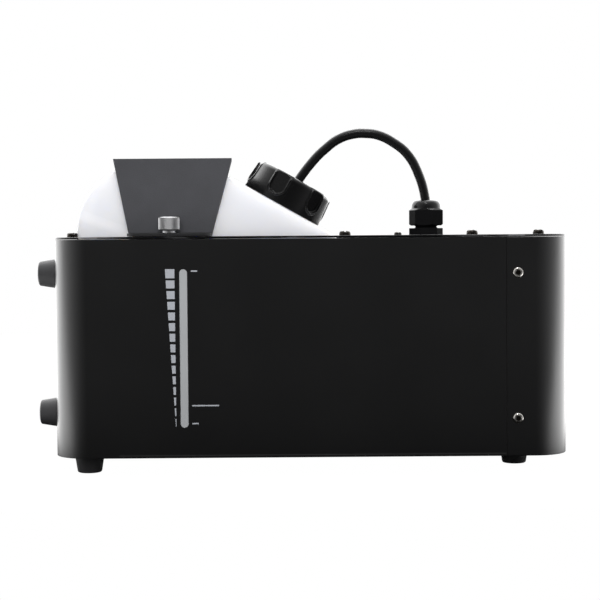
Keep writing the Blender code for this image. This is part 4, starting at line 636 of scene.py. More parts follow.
class FOG_OT_tank_hose(Operator):
    """Make the hose that arches from the cap to the gland"""

    bl_idname = "fog.tank_hose"
    bl_label = "Tank hose"

    def execute(self, context):
        tank = context.scene.fog_tank
        gland = middle("gland_nut")
        route = [CAP_SEAT + HOSE_SHIFT + CAP_AXIS * reach for reach in HOSE_START]
        start = (CAP_SEAT + CAP_AXIS * HOSE_RISE).x
        route += [Vector((start + share * (gland.x - start), TANK_Y, TOP + z)) for share, z in HOSE_ARCH]
        route += [Vector((gland.x, TANK_Y, TOP + z)) for z in HOSE_END]
        line = bpy.data.curves.new("tank_hose", "CURVE")
        line.dimensions = "3D"
        line.bevel_depth = tank.hose / 2
        line.bevel_resolution = 8
        line.resolution_u = 16
        line.use_fill_caps = True
        spline = line.splines.new("BEZIER")
        spline.bezier_points.add(len(route) - 1)
        for knot, place in zip(spline.bezier_points, route):
            knot.co = place
            knot.handle_left_type = "AUTO"
            knot.handle_right_type = "AUTO"
        line.materials.append(bpy.data.materials[FINISH + "hose_rubber"])
        hose = bpy.data.objects.new("hose_run", line)
        context.scene.collection.objects.link(hose)
        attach(hose, "case")
        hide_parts("tank_hose")
        return {"FINISHED"}


CORNER_STEPS = 24
SEAM_GAP = 0.0004
SCREW_HEIGHT = 0.0022
FOOT_SIZES = {"height": 0.013, "base": 0.01025, "tip": 0.00825, "recess": 0.004, "depth": 0.007}
MID_Z = (BASE + TOP) / 2


def standing_sheet(start, moves, low, high):
    """Draw a standing sheet: a move is a point to go straight to, or a centre and an angle to turn by."""
    shape = bmesh.new()
    edge = shape.edges.new([shape.verts.new((*start, z)) for z in (low, high)])
    for move in moves:
        if len(move) == 2:
            made = bmesh.ops.extrude_edge_only(shape, edges=[edge])["geom"]
            ends = [item for item in made if isinstance(item, bmesh.types.BMVert)]
            here = ends[0].co
            bmesh.ops.translate(shape, verts=ends, vec=(move[0] - here.x, move[1] - here.y, 0))
            edge = shape.edges.get(ends)
        else:
            made = bmesh.ops.spin(shape, geom=[edge, *edge.verts], cent=(move[0], move[1], low),
                                  axis=(0, 0, 1), angle=move[2], steps=CORNER_STEPS)["geom_last"]
            edge = next(item for item in made if isinstance(item, bmesh.types.BMEdge))
    bmesh.ops.recalc_face_normals(shape, faces=shape.faces)
    shape.normal_update()
    front = min(shape.faces, key=lambda face: face.calc_center_median().y)
    if front.normal.y > 0:
        bmesh.ops.reverse_faces(shape, faces=shape.faces)
    return shape


def sheet_steps(case):
    """Modifier steps that give a sheet its thickness."""
    return ("SOLIDIFY", {"thickness": case.sheet, "offset": -1.0, "use_even_offset": True})


def edge_step(width, segments=2, angle=40):
    """A modifier step that rounds sharp edges."""
    return ("BEVEL", {"width": width, "segments": segments, "limit_method": "ANGLE",
                      "angle_limit": radians(angle)})


def rear_openings():
    """Solids for everything that is set in the rear of the shell."""
    panel, inlet, switch = middle("control_panel"), middle("mains_inlet"), middle("power_switch")
    deep = 0.004
    start = REAR - deep / 2
    tools = [put(slab(0.086, 0.032, deep, 0.002), at(panel.x, start, panel.z, FACING_REAR)),
             put(slab(0.0295, 0.0215, deep), at(inlet.x, start, inlet.z, FACING_REAR)),
             put(slab(0.0246, 0.0336, deep), at(switch.x, start, switch.z, FACING_REAR))]
    for node, hole in (("signal_in", 0.0231), ("signal_out", 0.0231), ("fuse_holder", 0.0131)):
        place = middle(node)
        tools.append(put(rod(hole, deep), at(place.x, start, place.z, FACING_REAR)))
    return gather(*tools)


class FOG_OT_side_shell(Operator):
    """Make the sheet that wraps the front, the left end and the rear"""

    bl_idname = "fog.side_shell"
    bl_label = "Side shell"

    def execute(self, context):
        case = context.scene.fog_case
        bend, end = case.corner, SEAM - SEAM_GAP
        moves = ((LEFT + bend, FRONT), (LEFT + bend, FRONT + bend, -pi / 2), (LEFT, REAR - bend),
                 (LEFT + bend, REAR - bend, -pi / 2), (end, REAR))
        skin = standing_sheet((end, FRONT), moves, SHELL_LOW.z, SHELL_HIGH.z)
        window = middle("level_window")
        slot = put(slab(case.window_width, case.window_length, 0.004, case.window_width / 2),
                   at(window.x, FRONT + 0.002, window.z, FACING_FRONT))
        heater = middle("heater_block")
        vents = [put(slab(0.004, 0.050, 0.004, 0.00199), at(LEFT + 0.002, heater.y + step * 0.009, MID_Z,
                                                            FACING_LEFT))
                 for step in (-3.5, -2.5, -1.5, -0.5, 0.5, 1.5, 2.5, 3.5)]
        tools = gather(slot, rear_openings(), *vents)
        skin = settle(skin, sheet_steps(case), ("BOOLEAN", {"solver": "EXACT", "object": tools}),
                      edge_step(case.edge))
        laps = []
        for side in (-1, 1):
            y = (FRONT + REAR) / 2 + side * ((REAR - FRONT) / 2 - case.sheet * 1.6)
            laps.append(block((end - case.lap, y - case.sheet / 2, SHELL_LOW.z),
                              (end + case.lap, y + case.sheet / 2, SHELL_HIGH.z)))
        new_piece("shell_skin", gather(skin, *laps), "case", "case_paint", ["side_shell"])
        return {"FINISHED"}


def lamp_places():
    """Centres of the lamps on a ring round the nozzle."""
    nozzle = middle("nozzle")
    angles = [FULL_TURN * step / 12 for step in range(12)]
    return [(nozzle.y + 0.038 * cos(angle), nozzle.z + 0.038 * sin(angle)) for angle in angles]


class FOG_OT_end_cover(Operator):
    """Make the nozzle end's sheet, with its lamp holes and screw dishes"""

    bl_idname = "fog.end_cover"
    bl_label = "End cover"

    def execute(self, context):
        case = context.scene.fog_case
        bend = case.corner
        moves = ((RIGHT - bend, FRONT), (RIGHT - bend, FRONT + bend, pi / 2), (RIGHT, REAR - bend),
                 (RIGHT - bend, REAR - bend, pi / 2), (SEAM, REAR))
        skin = standing_sheet((SEAM, FRONT), moves, COVER_LOW.z, COVER_HIGH.z)
        nozzle = middle("nozzle")
        tools = [put(rod(0.030, 0.006), at(RIGHT - 0.003, nozzle.y, nozzle.z, FACING_RIGHT))]
        for y, z in lamp_places():
            tools.append(put(rod(0.0116, 0.006, 48), at(RIGHT - 0.003, y, z, FACING_RIGHT)))
        half = case.dish / 2
        for node in ("front_upper", "front_lower", "rear_upper", "rear_lower"):
            place = middle("cover_screw_" + node)
            turn, y = (FACING_FRONT, FRONT) if "front" in node else (FACING_REAR, REAR)
            dish = spun([(0, -0.00045), (half - 0.0008, -0.00045), (half, 0.0001), (half, 0.001),
                         (0, 0.001)], 48)
            tools.append(put(dish, at(place.x, y, place.z, turn)))
        skin = settle(skin, sheet_steps(case),
                      ("BOOLEAN", {"solver": "EXACT", "object": gather(*tools)}), edge_step(0.0005, 3))
        new_piece("cover_skin", skin, "case", "case_paint", ["end_cover"])
        return {"FINISHED"}


class FOG_OT_top_plate(Operator):
    """Make the lid, open over the tank's well"""

    bl_idname = "fog.top_plate"
    bl_label = "Top plate"

    def execute(self, context):
        case = context.scene.fog_case
        centre = (PLATE_LOW + PLATE_HIGH) / 2
        size = PLATE_HIGH - PLATE_LOW
        plate = slab(size.x, size.y, size.z, case.corner, CORNER_STEPS)
        plate = put(plate, at(centre.x, centre.y, PLATE_LOW.z))
        tank = middle("fluid_tank")
        width, depth = TANK_HIGH.x - TANK_LOW.x + TANK_BULGE + 0.002, TANK_HIGH.y - TANK_LOW.y + 0.002
        gap = put(slab(width, depth, 0.006, 0.006), at(tank.x - TANK_BULGE / 2, tank.y, PLATE_LOW.z - 0.002))
        gland = middle("gland_body")
        hole = put(rod(0.0166, 0.006), at(gland.x, gland.y, PLATE_LOW.z - 0.002))
        plate = settle(plate, ("BOOLEAN", {"solver": "EXACT", "object": gather(gap, hole)}),
                       edge_step(case.edge))
        new_piece("lid_plate", plate, "case", "plate_paint", ["top_plate"])
        return {"FINISHED"}


def pan_screw(head, height, cross=0.36):
    """Make a pan head with a cross recess, standing on the origin."""
    half = head / 2
    profile = [(0, 1.0), (0.40, 0.99), (0.66, 0.95), (0.82, 0.86), (0.92, 0.71), (0.98, 0.48), (1.0, 0.22),
               (1.0, 0.0), (0, 0.0)]
    shape = spun([(radius * half, level * height) for radius, level in profile], 48)
    reach, wide, deep = cross * head, 0.075 * head, 0.5 * height
    arms = [block((-reach, -wide, height - deep), (reach, wide, 2 * height)),
            block((-wide, -reach, height - deep), (wide, reach, 2 * height))]
    return carve(shape, *arms)


class FOG_OT_plate_screws(Operator):
    """Make the screws that hold the lid and the feet"""

    bl_idname = "fog.plate_screws"
    bl_label = "Plate and foot screws"

    def execute(self, context):
        case = context.scene.fog_case
        centre = (LEFT + RIGHT) / 2
        spots = ((-0.162, -0.162, 0.024, 1.0), (0.0235, 0.0303, 0.012, 1.0), (0.109, 0.097, 0.010, 1.0),
                 (0.1545, 0.1355, 0.016, 1.0), (0.0649, 0.0682, 0.100, 0.72))
        screws = []
        for front_x, rear_x, depth, share in spots:
            for x, y in ((front_x, FRONT + depth), (rear_x, REAR - depth)):
                head = pan_screw(case.lid_screw * share, 1.4 * SCREW_HEIGHT * share, 0.47)
                turned = Matrix.Rotation(radians(37) + 40 * x, 4, "Z")
                screws.append(put(head, at(centre + x, y, TOP, turned)))
        new_piece("lid_screws", gather(*screws), "case", "dark_screw")
        tips = []
        for name in frame["nodes"]:
            low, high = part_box(name) if "_foot_" in name else (None, None)
            if name.startswith("base_foot"):
                place = at((low.x + high.x) / 2, (low.y + high.y) / 2, FOOT_SIZES["depth"], FACING_DOWN)
                tips.append(put(pan_screw(case.screw_head, SCREW_HEIGHT), place))
            elif name.startswith("end_foot"):
                centre = (low + high) / 2
                place = at(low.x + FOOT_SIZES["depth"], centre.y, centre.z, FACING_LEFT)
                tips.append(put(pan_screw(case.screw_head, SCREW_HEIGHT), place))
        new_piece("foot_screws", gather(*tips), "case", "zinc_plate")
        return {"FINISHED"}


class FOG_OT_feet(Operator):
    """Make the eight rubber feet"""

    bl_idname = "fog.feet"
    bl_label = "Feet"

    def execute(self, context):
        case = context.scene.fog_case
        size = FOOT_SIZES
        profile = [(0, size["depth"]), (size["recess"], size["depth"]), (size["recess"], 0), (size["tip"], 0),
                   (size["base"] - 0.0003, size["height"] - 0.0022), (size["base"], size["height"] - 0.0018),
                   (size["base"], size["height"]), (0, size["height"])]
        for name in [item for item in frame["nodes"] if "_foot_" in item]:
            low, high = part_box(name)
            centre = (low + high) / 2
            foot = soften(spun(profile), case.foot_round, 4,
                          where=lambda edge: abs(edge.verts[0].co.z) < 0.0001)
            if name.startswith("end_foot"):
                place = at(low.x, centre.y, centre.z, Matrix.Rotation(pi / 2, 4, "Y"))
            else:
                place = at(centre.x, centre.y, low.z)
            new_piece(name + "_rubber", put(foot, place), "case", "foot_rubber", [name])
        return {"FINISHED"}


class FOG_OT_cover_screws(Operator):
    """Make the four screws of the end cover, each with a painted dark reflection on its top"""

    bl_idname = "fog.cover_screws"
    bl_label = "Cover screws"

    def execute(self, context):
        case = context.scene.fog_case
        reflection_discs = []
        for node in ("front_upper", "front_lower", "rear_upper", "rear_lower"):
            name = "cover_screw_" + node
            place = middle(name)
            turn, y = (FACING_FRONT, FRONT + 0.0004) if "front" in node else (FACING_REAR, REAR - 0.0004)
            spin = Matrix.Rotation(60 * place.z, 4, "Z")
            head = put(pan_screw(case.screw_head, SCREW_HEIGHT), at(place.x, y, place.z, turn @ spin))
            shank = put(rod(0.004, 0.006, 32), at(place.x, y, place.z, turn @ FACING_DOWN))
            # A dark disc on each head's flat top is a painted reflection of the dark room in front, not a
            # recess.
            core = put(rod(0.46 * case.screw_head, 0.0006, 32), at(0, 0, SCREW_HEIGHT - 0.00055))
            reflection_discs.append(put(core, at(place.x, y, place.z, turn)))
            new_piece(name + "_head", gather(head, shank), "case", "screw_steel", [name])
        new_piece("cover_screw_recesses", gather(*reflection_discs), "case", "dark_screw")
        return {"FINISHED"}


class FOG_OT_level_window(Operator):
    """Make the grey strip in the level slot, painted as the white tank in shade behind it, and the printed
    scale beside it
    """

    bl_idname = "fog.level_window"
    bl_label = "Level window and scale"

    def execute(self, context):
        case = context.scene.fog_case
        place = middle("level_window")
        strip = slab(case.window_width - 0.0002, case.window_length - 0.0002, 0.0016,
                     case.window_width / 2 - 0.0001)
        back = slab(case.window_width + 0.006, case.window_length + 0.006, 0.0014, 0.004)
        back = put(back, at(0, 0, -0.0014))
        strip = gather(soften(strip, 0.0003, 3), back)
        new_piece("window_strip", put(strip, at(place.x, FRONT + 0.0018, place.z, FACING_FRONT)), "case",
                  "window_plastic", ["level_window"])
        ink = 0.00005
        edge = place.x - 0.0058
        top = place.z + case.window_length / 2
        marks = []
        for step in range(case.bar_count):
            share = step / (case.bar_count - 1)
            width = 0.0063 + (0.0006 - 0.0063) * share
            height = 0.0061 if step == 0 else 0.0053
            low = top - step * case.bar_pitch - (0.0061 if step == 0 else 0.0057)
            right = edge + 0.0003 * share
            bar = block((right - width, FRONT - ink, low), (right, FRONT + ink, low + height))
            for vert in bar.verts:
                if vert.co.x < right - MERGE:
                    vert.co.x += 0.057 * (low + height - vert.co.z)
            marks.append(bar)
        side = place.x + 0.0052
        for drop, run in ((0.0014, 0.0042), (0.0915, 0.0180), (0.1035, 0.0042)):
            level = top - drop
            low, high = level - 0.00045, level + 0.00045
            marks.append(block((side, FRONT - ink, low), (side + run, FRONT + ink, high)))
        new_piece("level_scale", gather(*marks), "case", "print_ink")
        return {"FINISHED"}


NECK = {"radius": 0.023, "height": 0.0153, "wall": 0.003, "root": 0.006}
CAP = {"bore": 0.0235, "roof": 0.0175, "skirt": 0.0053, "deep": 0.0025, "edge": 0.0030, "hole": 0.0062,
       "lip": 0.0008, "taper": 0.0016}
CAP_POCKETS = 6
POCKET_TURN = radians(-16.5)


def tank_face():
    """Side view of the tank as a flat face, each corner rounded by its own radius."""
    slope = CAP_AXIS.x / CAP_AXIS.z
    brow = CAP_SEAT.z - (TANK_HIGH.x - CAP_SEAT.x) * slope
    crown = CAP_SEAT.x - (TANK_HIGH.z - CAP_SEAT.z) / slope
    corners = ((TANK_LOW.x, TANK_LOW.z, 0.006, pi / 2), (TANK_HIGH.x, TANK_LOW.z, 0.006, pi / 2),
               (TANK_HIGH.x, brow, 0.012, pi / 2 - CAP_TILT), (crown, TANK_HIGH.z, 0.025, CAP_TILT),
               (TANK_LOW.x - TANK_BULGE, TANK_HIGH.z, 0.048, pi / 2),
               (TANK_LOW.x - TANK_BULGE, TOP - 0.012, 0.001, pi / 4),
               (TANK_LOW.x, TOP - 0.015, 0.001, pi / 4))
    shape = bmesh.new()
    shape.faces.new([shape.verts.new((x, z, 0)) for x, z, radius, turn in corners])
    for x, z, radius, turn in corners:
        corner = min(shape.verts, key=lambda vert: (vert.co - Vector((x, z, 0))).length)
        bmesh.ops.bevel(shape, geom=[corner], offset=radius * tan(turn / 2), offset_type="OFFSET",
                        affect="VERTICES", segments=16, profile=0.5, material=-1)
    return shape


class FOG_OT_fluid_tank(Operator):
    """Make the soft-edged blown tank with its neck"""

    bl_idname = "fog.fluid_tank"
    bl_label = "Fluid tank"

    def execute(self, context):
        tank = context.scene.fog_tank
        solid = raised(tank_face(), TANK_HIGH.y - TANK_LOW.y)
        solid = put(solid, at(0, TANK_HIGH.y, 0, FACING_FRONT))
        solid = settle(solid, ("REMESH", {"mode": "VOXEL", "voxel_size": tank.mesh_step}),
                       ("SMOOTH", {"factor": 0.5, "iterations": tank.soft_rounds}))
        rim = NECK["radius"]
        profile = [(rim, -NECK["root"]), (rim, NECK["height"]), (rim - NECK["wall"], NECK["height"]),
                   (rim - NECK["wall"], -NECK["root"])]
        neck = soften(spun(profile, AROUND, True), 0.0006, 3)
        new_piece("tank_shell", gather(solid, put(neck, CAP_PLACE)), "case", "tank_plastic",
                  ["fluid_tank"])
        return {"FINISHED"}


class FOG_OT_tank_cap(Operator):
    """Make the screw cap with its finger pockets"""

    bl_idname = "fog.tank_cap"
    bl_label = "Tank cap"

    def execute(self, context):
        tank = context.scene.fog_tank
        radius, height = tank.cap_diameter / 2, tank.cap_height
        crown = radius - CAP["taper"]
        profile = [(CAP["hole"], height), (crown, height), (radius, 0.0003), (CAP["bore"], 0.0003),
                   (CAP["bore"], CAP["roof"]), (CAP["hole"], CAP["roof"])]
        cap = spun(profile, 96, True)
        cap = soften(cap, CAP["edge"], 6,
                     where=lambda edge: min(vert.co.z + vert.co.xy.length for vert in edge.verts)
                     > height + crown - 0.0001)
        turns = [Matrix.Rotation(POCKET_TURN + FULL_TURN * step / CAP_POCKETS, 4, "Z") @ FACING_FRONT
                 for step in range(CAP_POCKETS)]
        rims, pockets = [], []
        for turn in turns:
            wide = tank.pocket + 0.0024
            rim = slab(wide, 2 * height, 0.004 + CAP["lip"], wide / 2 - MERGE)
            rims.append(put(rim, turn @ at(0, CAP["skirt"] + height - 0.0012, radius - 0.004)))
            pocket = slab(tank.pocket, 2 * height, 0.008, tank.pocket / 2 - MERGE)
            pockets.append(put(pocket, turn @ at(0, CAP["skirt"] + height, radius - CAP["deep"])))
        limit = spun([(0, 0.0003), (radius + CAP["lip"], 0.0003), (crown + CAP["lip"], height - 0.0026),
                      (crown - 0.0014, height), (0, height)], 96)
        rims = carve(gather(*rims), limit, operation="INTERSECT")
        cap = carve(carve(cap, rims, operation="UNION"), gather(*pockets))
        cap = settle(cap, ("REMESH", {"mode": "VOXEL", "voxel_size": 0.00038}),
                     ("SMOOTH", {"factor": 0.5, "iterations": 3}))
        new_piece("cap_shell", put(cap, CAP_PLACE), "tank_cap", "cap_plastic", ["tank_cap"])
        return {"FINISHED"}


class FOG_OT_tank_strap(Operator):
    """Make the bent strap over the tank"""

    bl_idname = "fog.tank_strap"
    bl_label = "Tank strap"

    def execute(self, context):
        tank = context.scene.fog_tank
        knobs = [middle(name) for name in ("thumbscrew_front", "thumbscrew_rear")]
        middle_x, top, flat = knobs[0].x, STRAP_HIGH.z, TOP + 0.0003 + tank.strap
        head = (STRAP_HIGH.x - STRAP_LOW.x) / 2
        lean = (STRAP_HIGH.x + STRAP_LOW.x) / 2 - middle_x
        near, far = TANK_LOW.y - tank.strap - 0.0005, TANK_HIGH.y + tank.strap + 0.0005
        stations = ((near, flat, tank.strap_foot / 2, 0), (near, top, head, lean),
                    (far, top, tank.strap_rear / 2, lean), (far, flat, tank.strap_foot / 2, 0),
                    (STRAP_HIGH.y, flat, tank.strap_foot / 2, 0))
        shape = bmesh.new()
        foot = tank.strap_foot / 2
        edge = shape.edges.new([shape.verts.new((middle_x + x, STRAP_LOW.y, flat)) for x in (-foot, foot)])
        for y, z, half, shift in stations:
            ends = new_verts(bmesh.ops.extrude_edge_only(shape, edges=[edge]))
            ends.sort(key=lambda vert: vert.co.x)
            edge = shape.edges.get(ends)
            for vert, side in zip(ends, (-1, 1)):
                vert.co = (middle_x + shift + side * half, y, z)
        corners = [vert for vert in shape.verts if len(vert.link_edges) == 2]
        bmesh.ops.bevel(shape, geom=corners, offset=0.006, offset_type="OFFSET", affect="VERTICES",
                        segments=8, profile=0.5, material=-1)
        shape.normal_update()
        if max(shape.faces, key=lambda face: face.calc_center_median().z).normal.z < 0:
            bmesh.ops.reverse_faces(shape, faces=shape.faces)
        holes = [put(rod(0.006, 0.008), at(knob.x, knob.y, TOP - 0.002)) for knob in knobs]
        wall = {"thickness": tank.strap, "offset": -1.0, "use_even_offset": True}
        strap = settle(shape, ("SOLIDIFY", wall),
                       ("BOOLEAN", {"solver": "EXACT", "object": gather(*holes)}), edge_step(0.0004, 3, 30))
        new_piece("strap_sheet", strap, "case", "strap_paint", ["tank_strap"])
        return {"FINISHED"}


class FOG_OT_thumbscrews(Operator):
    """Make the two knurled thumbscrews"""

    bl_idname = "fog.thumbscrews"
    bl_label = "Thumbscrews"

    def execute(self, context):
        tank = context.scene.fog_tank
        radius, neck, stud = tank.knob / 2, 0.00475, 0.0025
        low, high = 0.0013, 0.0107
        profile = [(0, high - 0.0003), (radius - 0.0022, high - 0.0003), (radius - 0.0018, high),
                   (radius - 0.0007, high), (radius, high - 0.0007), (radius, low + 0.0010),
                   (radius - 0.0010, low), (neck, low), (neck, 0), (stud, 0), (stud, -0.014), (0, -0.014)]
        seat = TOP + 0.0003 + tank.strap + 0.0003
        for name in ("thumbscrew_front", "thumbscrew_rear"):
            screw = spun(profile, 2 * tank.ridges)
            for vert in screw.verts:
                step = round(Vector((1, 0)).angle_signed(vert.co.xy, 0) * tank.ridges / pi)
                if step % 2 and vert.co.xy.length > radius - MERGE:
                    vert.co.xy *= 1 - 0.00022 / radius
            place = middle(name)
            new_piece(name + "_knob", put(screw, at(place.x, place.y, seat)), name, "bright_steel",
                      [name], radians(25))
        return {"FINISHED"}


def hexagon(flats, height, turn):
    """Make a hexagon prism that stands on the origin, its first corner turned from +X."""
    return put(rod(flats / cos(pi / 6), height, 6), Matrix.Rotation(turn - pi / 6, 4, "Z"))


class FOG_OT_gland(Operator):
    """Make the cable gland's body and its domed nut"""

    bl_idname = "fog.gland"
    bl_label = "Cable gland"

    def execute(self, context):
        flats, hole, thread = 0.021, 0.00415, 0.008
        low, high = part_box("gland_nut")
        tall, wide = 0.0121, flats / cos(pi / 6) / 2
        bevelled = spun([(0, 0), (flats / 2 + 0.0001, 0), (wide, 0.0009), (wide, tall - 0.0014),
                         (flats / 2 - 0.0002, tall), (0, tall)], 96)
        sides = carve(hexagon(flats, tall, radians(-13)), bevelled, operation="INTERSECT")
        rise, dome, lip = high.z - low.z - tall, 0.0105, 0.0060
        arc = [(lip + (dome - lip) * sin(radians(angle)) ** 0.9, tall + rise * cos(radians(angle)) ** 0.75)
               for angle in range(0, 91, 10)]
        top = spun([(hole, tall + rise - 0.0004), *arc, (dome, tall - 0.002), (hole, tall - 0.002)], 96, True)
        room = put(rod(2 * thread + 0.0008, 0.0090), at(0, 0, -0.0004))
        way = put(rod(2 * hole, 0.03), at(0, 0, -0.005))
        nut = carve(carve(sides, top, operation="UNION"), room, way)
        nut = settle(nut, ("REMESH", {"mode": "VOXEL", "voxel_size": 0.00026}),
                     ("SMOOTH", {"factor": 0.5, "iterations": 3}))
        place = middle("gland_nut")
        new_piece("gland_cap_nut", put(nut, at(place.x, place.y, low.z - 0.0006)), "case", "gland_nylon",
                  ["gland_nut"])
        foot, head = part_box("gland_body")
        base = soften(hexagon(flats, 0.005, radians(5)), 0.0003, 3)
        core = [(thread, 0.0049)]
        for turn in range(5):
            core += [(thread, 0.0053 + 0.0015 * turn), (thread - 0.0006, 0.0058 + 0.0015 * turn),
                     (thread - 0.0006, 0.0061 + 0.0015 * turn), (thread, 0.0066 + 0.0015 * turn)]
        core += [(hole, 0.0126), (hole, 0.0049)]
        tail = spun([(thread, 0.0001), (thread, foot.z - TOP - 0.0003), (hole, foot.z - TOP - 0.0003),
                     (hole, 0.0001)], AROUND, True)
        bore = put(rod(2 * hole, 0.02), at(0, 0, -0.005))
        body = gather(carve(base, bore), spun(core, AROUND, True), tail)
        new_piece("gland_root", put(body, at(place.x, place.y, TOP - 0.0003)), "case", "gland_nylon",
                  ["gland_body"])
        return {"FINISHED"}


BEHIND = 0.0003


def on_rear(node, out=BEHIND):
    """Give the place of a piece that faces out of the rear."""
    place = middle(node)
    return at(place.x, REAR + out, place.z, FACING_REAR)


def screw_pair(node, across, up, head=0.0046, out=0.0028):
    """Make two small screws in opposite corners of a flange."""
    return [put(pan_screw(head, 0.0014), on_rear(node, out) @ at(side * across, side * up, 0))
            for side in (-1, 1)]


class FOG_OT_nozzle_end(Operator):
    """Make the nozzle and the ring of lamp lenses round it"""

    bl_idname = "fog.nozzle_end"
    bl_label = "Nozzle and lamps"

    def execute(self, context):
        place = middle("nozzle")
        low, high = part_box("lens_plate")
        profile = [(0.0015, -0.0025), (0.0045, 0), (0.0065, 0), (0.010, -0.010), (0.010, -0.025),
                   (0.004, -0.030), (0.0015, -0.030)]
        nozzle = soften(spun(profile, 96, True), 0.0004, 3)
        new_piece("nozzle_body", put(nozzle, at(RIGHT, place.y, place.z, FACING_RIGHT)), "case", "brass",
                  ["nozzle"])
        ring = soften(spun([(0.026, 0), (0.050, 0), (0.050, 0.002), (0.026, 0.002)], 96, True), 0.0003, 2)
        tall = high.x - low.x
        dome = [(0, tall), (0.0016, tall - 0.0001), (0.0030, tall - 0.0005), (0.0040, tall - 0.0012),
                (0.0047, tall - 0.0022), (0.0051, tall - 0.0036), (0.0054, 0.0021), (0.0054, 0.0012),
                (0, 0.0012)]
        lenses = [put(spun(dome, 40), at(y - place.y, z - place.z, 0)) for y, z in lamp_places()]
        whole = put(gather(ring, *lenses), at(low.x, place.y, place.z, FACING_RIGHT))
        new_piece("lens_ring", whole, "case", "clear_plastic", ["lens_plate"])
        return {"FINISHED"}


class FOG_OT_control_panel(Operator):
    """Make the panel with its display and its four buttons"""

    bl_idname = "fog.control_panel"
    bl_label = "Control panel"

    def execute(self, context):
        low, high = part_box("control_panel")
        thick = high.y - low.y
        panel, screen = middle("control_panel"), middle("display")
        keys = {name: middle(name) for name in ("button_menu", "button_up", "button_enter", "button_down")}
        plate = slab(high.x - low.x, high.z - low.z, thick, 0.002)
        plate = put(plate, at(panel.x, low.y, panel.z, FACING_REAR))
        bezel = put(slab(0.047, 0.023, 0.0008, 0.002), at(screen.x, high.y - 0.0002, screen.z, FACING_REAR))
        plate = carve(plate, bezel, operation="UNION")
        tools = [put(slab(0.042, 0.018, 0.006, 0.0008), at(screen.x, low.y - 0.002, screen.z, FACING_REAR))]
        for place in keys.values():
            tools.append(put(rod(0.010, 0.006), at(place.x, low.y - 0.002, place.z, FACING_REAR)))
        plate = settle(carve(plate, gather(*tools)), edge_step(0.0002))
        new_piece("panel_plate", plate, "case", "black_plastic", ["control_panel"])
        inner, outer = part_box("display")
        glass = soften(slab(outer.x - inner.x, outer.z - inner.z, outer.y - inner.y), 0.0003, 2)
        new_piece("display_pane", put(glass, at(screen.x, inner.y, screen.z, FACING_REAR)), "case",
                  "display_glass", ["display"])
        tip, foot = 0.0048, -0.0014
        profile = [(0, tip), (0.0022, tip - 0.0001), (0.0035, tip - 0.0004), (0.0042, tip - 0.0009),
                   (0.0045, tip - 0.0017), (0.0045, 0), (0.006, 0), (0.006, foot), (0, foot)]
        for name, place in keys.items():
            seat = at(place.x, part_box(name)[1].y - tip, place.z, FACING_REAR)
            new_piece(name + "_key", put(spun(profile, 48), seat), name, "black_plastic",
                      [name])
            sides = 3 if name in ("button_up", "button_down") else 32
            turn = pi if name == "button_down" else 0
            mark = put(rod(0.0036 if sides == 3 else 0.0022, 0.0002, sides), Matrix.Rotation(turn, 4, "Z"))
            new_piece(name + "_mark", put(mark, seat @ at(0, 0, tip - 0.00016)), name, "print_ink")
        return {"FINISHED"}


class FOG_OT_signal_sockets(Operator):
    """Make the two round signal sockets"""

    bl_idname = "fog.signal_sockets"
    bl_label = "Signal sockets"

    def execute(self, context):
        pin_places = [(0.004 * cos(radians(turn)), 0.004 * sin(radians(turn))) for turn in (90, 210, 330)]
        screws, pins = [], []
        for name in ("signal_in", "signal_out"):
            flange = soften(slab(0.026, 0.031, 0.0025, 0.0025), 0.0005, 3)
            barrel = put(rod(0.0225, 0.0235), at(0, 0, -0.0223))
            well = put(rod(0.0195, 0.020), at(0, 0, -0.0105))
            socket = carve(carve(flange, barrel, operation="UNION"), well)
            if name == "signal_out":
                core = put(soften(rod(0.016, 0.012), 0.0006, 3), at(0, 0, -0.0107))
                holes = [put(rod(0.0030, 0.010, 32), at(x, y, -0.005)) for x, y in pin_places]
                latch = soften(block((-0.0028, 0.0088, -0.009), (0.0028, 0.0102, 0.0022)), 0.0003, 2)
                socket = gather(socket, carve(core, gather(*holes)), latch)
            else:
                for x, y in pin_places:
                    pin = soften(rod(0.0024, 0.012, 32), 0.0006, 3)
                    pins.append(put(pin, on_rear(name) @ at(x, y, -0.0108)))
            new_piece(name + "_shell", put(socket, on_rear(name)), "case", "black_plastic",
                      [name])
            screws += screw_pair(name, 0.0098, 0.0124)
        new_piece("signal_pins", gather(*pins), "case", "bright_steel")
        new_piece("socket_screws", gather(*screws), "case", "dark_screw")
        return {"FINISHED"}


class FOG_OT_mains_inlet(Operator):
    """Make the mains inlet with its pins"""

    bl_idname = "fog.mains_inlet"
    bl_label = "Mains inlet"

    def execute(self, context):
        flange = soften(slab(0.048, 0.028, 0.0025, 0.004), 0.0005, 3)
        body = put(slab(0.0293, 0.0213, 0.0235), at(0, 0, -0.0223))
        mouth = sheet_face(0.0245, 0.0165, 0.0)
        upper = [vert for vert in mouth.verts if vert.co.y > 0]
        bmesh.ops.bevel(mouth, geom=upper, offset=0.005, offset_type="OFFSET", affect="VERTICES", segments=1,
                        profile=0.5, material=-1)
        mouth = put(raised(mouth, 0.020), at(0, 0, -0.0135))
        inlet = settle(carve(carve(flange, body, operation="UNION"), mouth), edge_step(0.00025, 2, 50))
        new_piece("inlet_body", put(inlet, on_rear("mains_inlet")), "case", "black_plastic",
                  ["mains_inlet"])
        pins = []
        for across, up in ((-0.007, -0.0025), (0, 0.0025), (0.007, -0.0025)):
            pin = soften(block((across - 0.001, up - 0.002, -0.0137), (across + 0.001, up + 0.002, 0.0001)),
                         0.0004, 2)
            pins.append(put(pin, on_rear("mains_inlet")))
        new_piece("inlet_pins", gather(*pins), "case", "bright_steel")
        screws = gather(*screw_pair("mains_inlet", 0.0200, 0.0, 0.0054))
        new_piece("inlet_screws", screws, "case", "dark_screw")
        return {"FINISHED"}


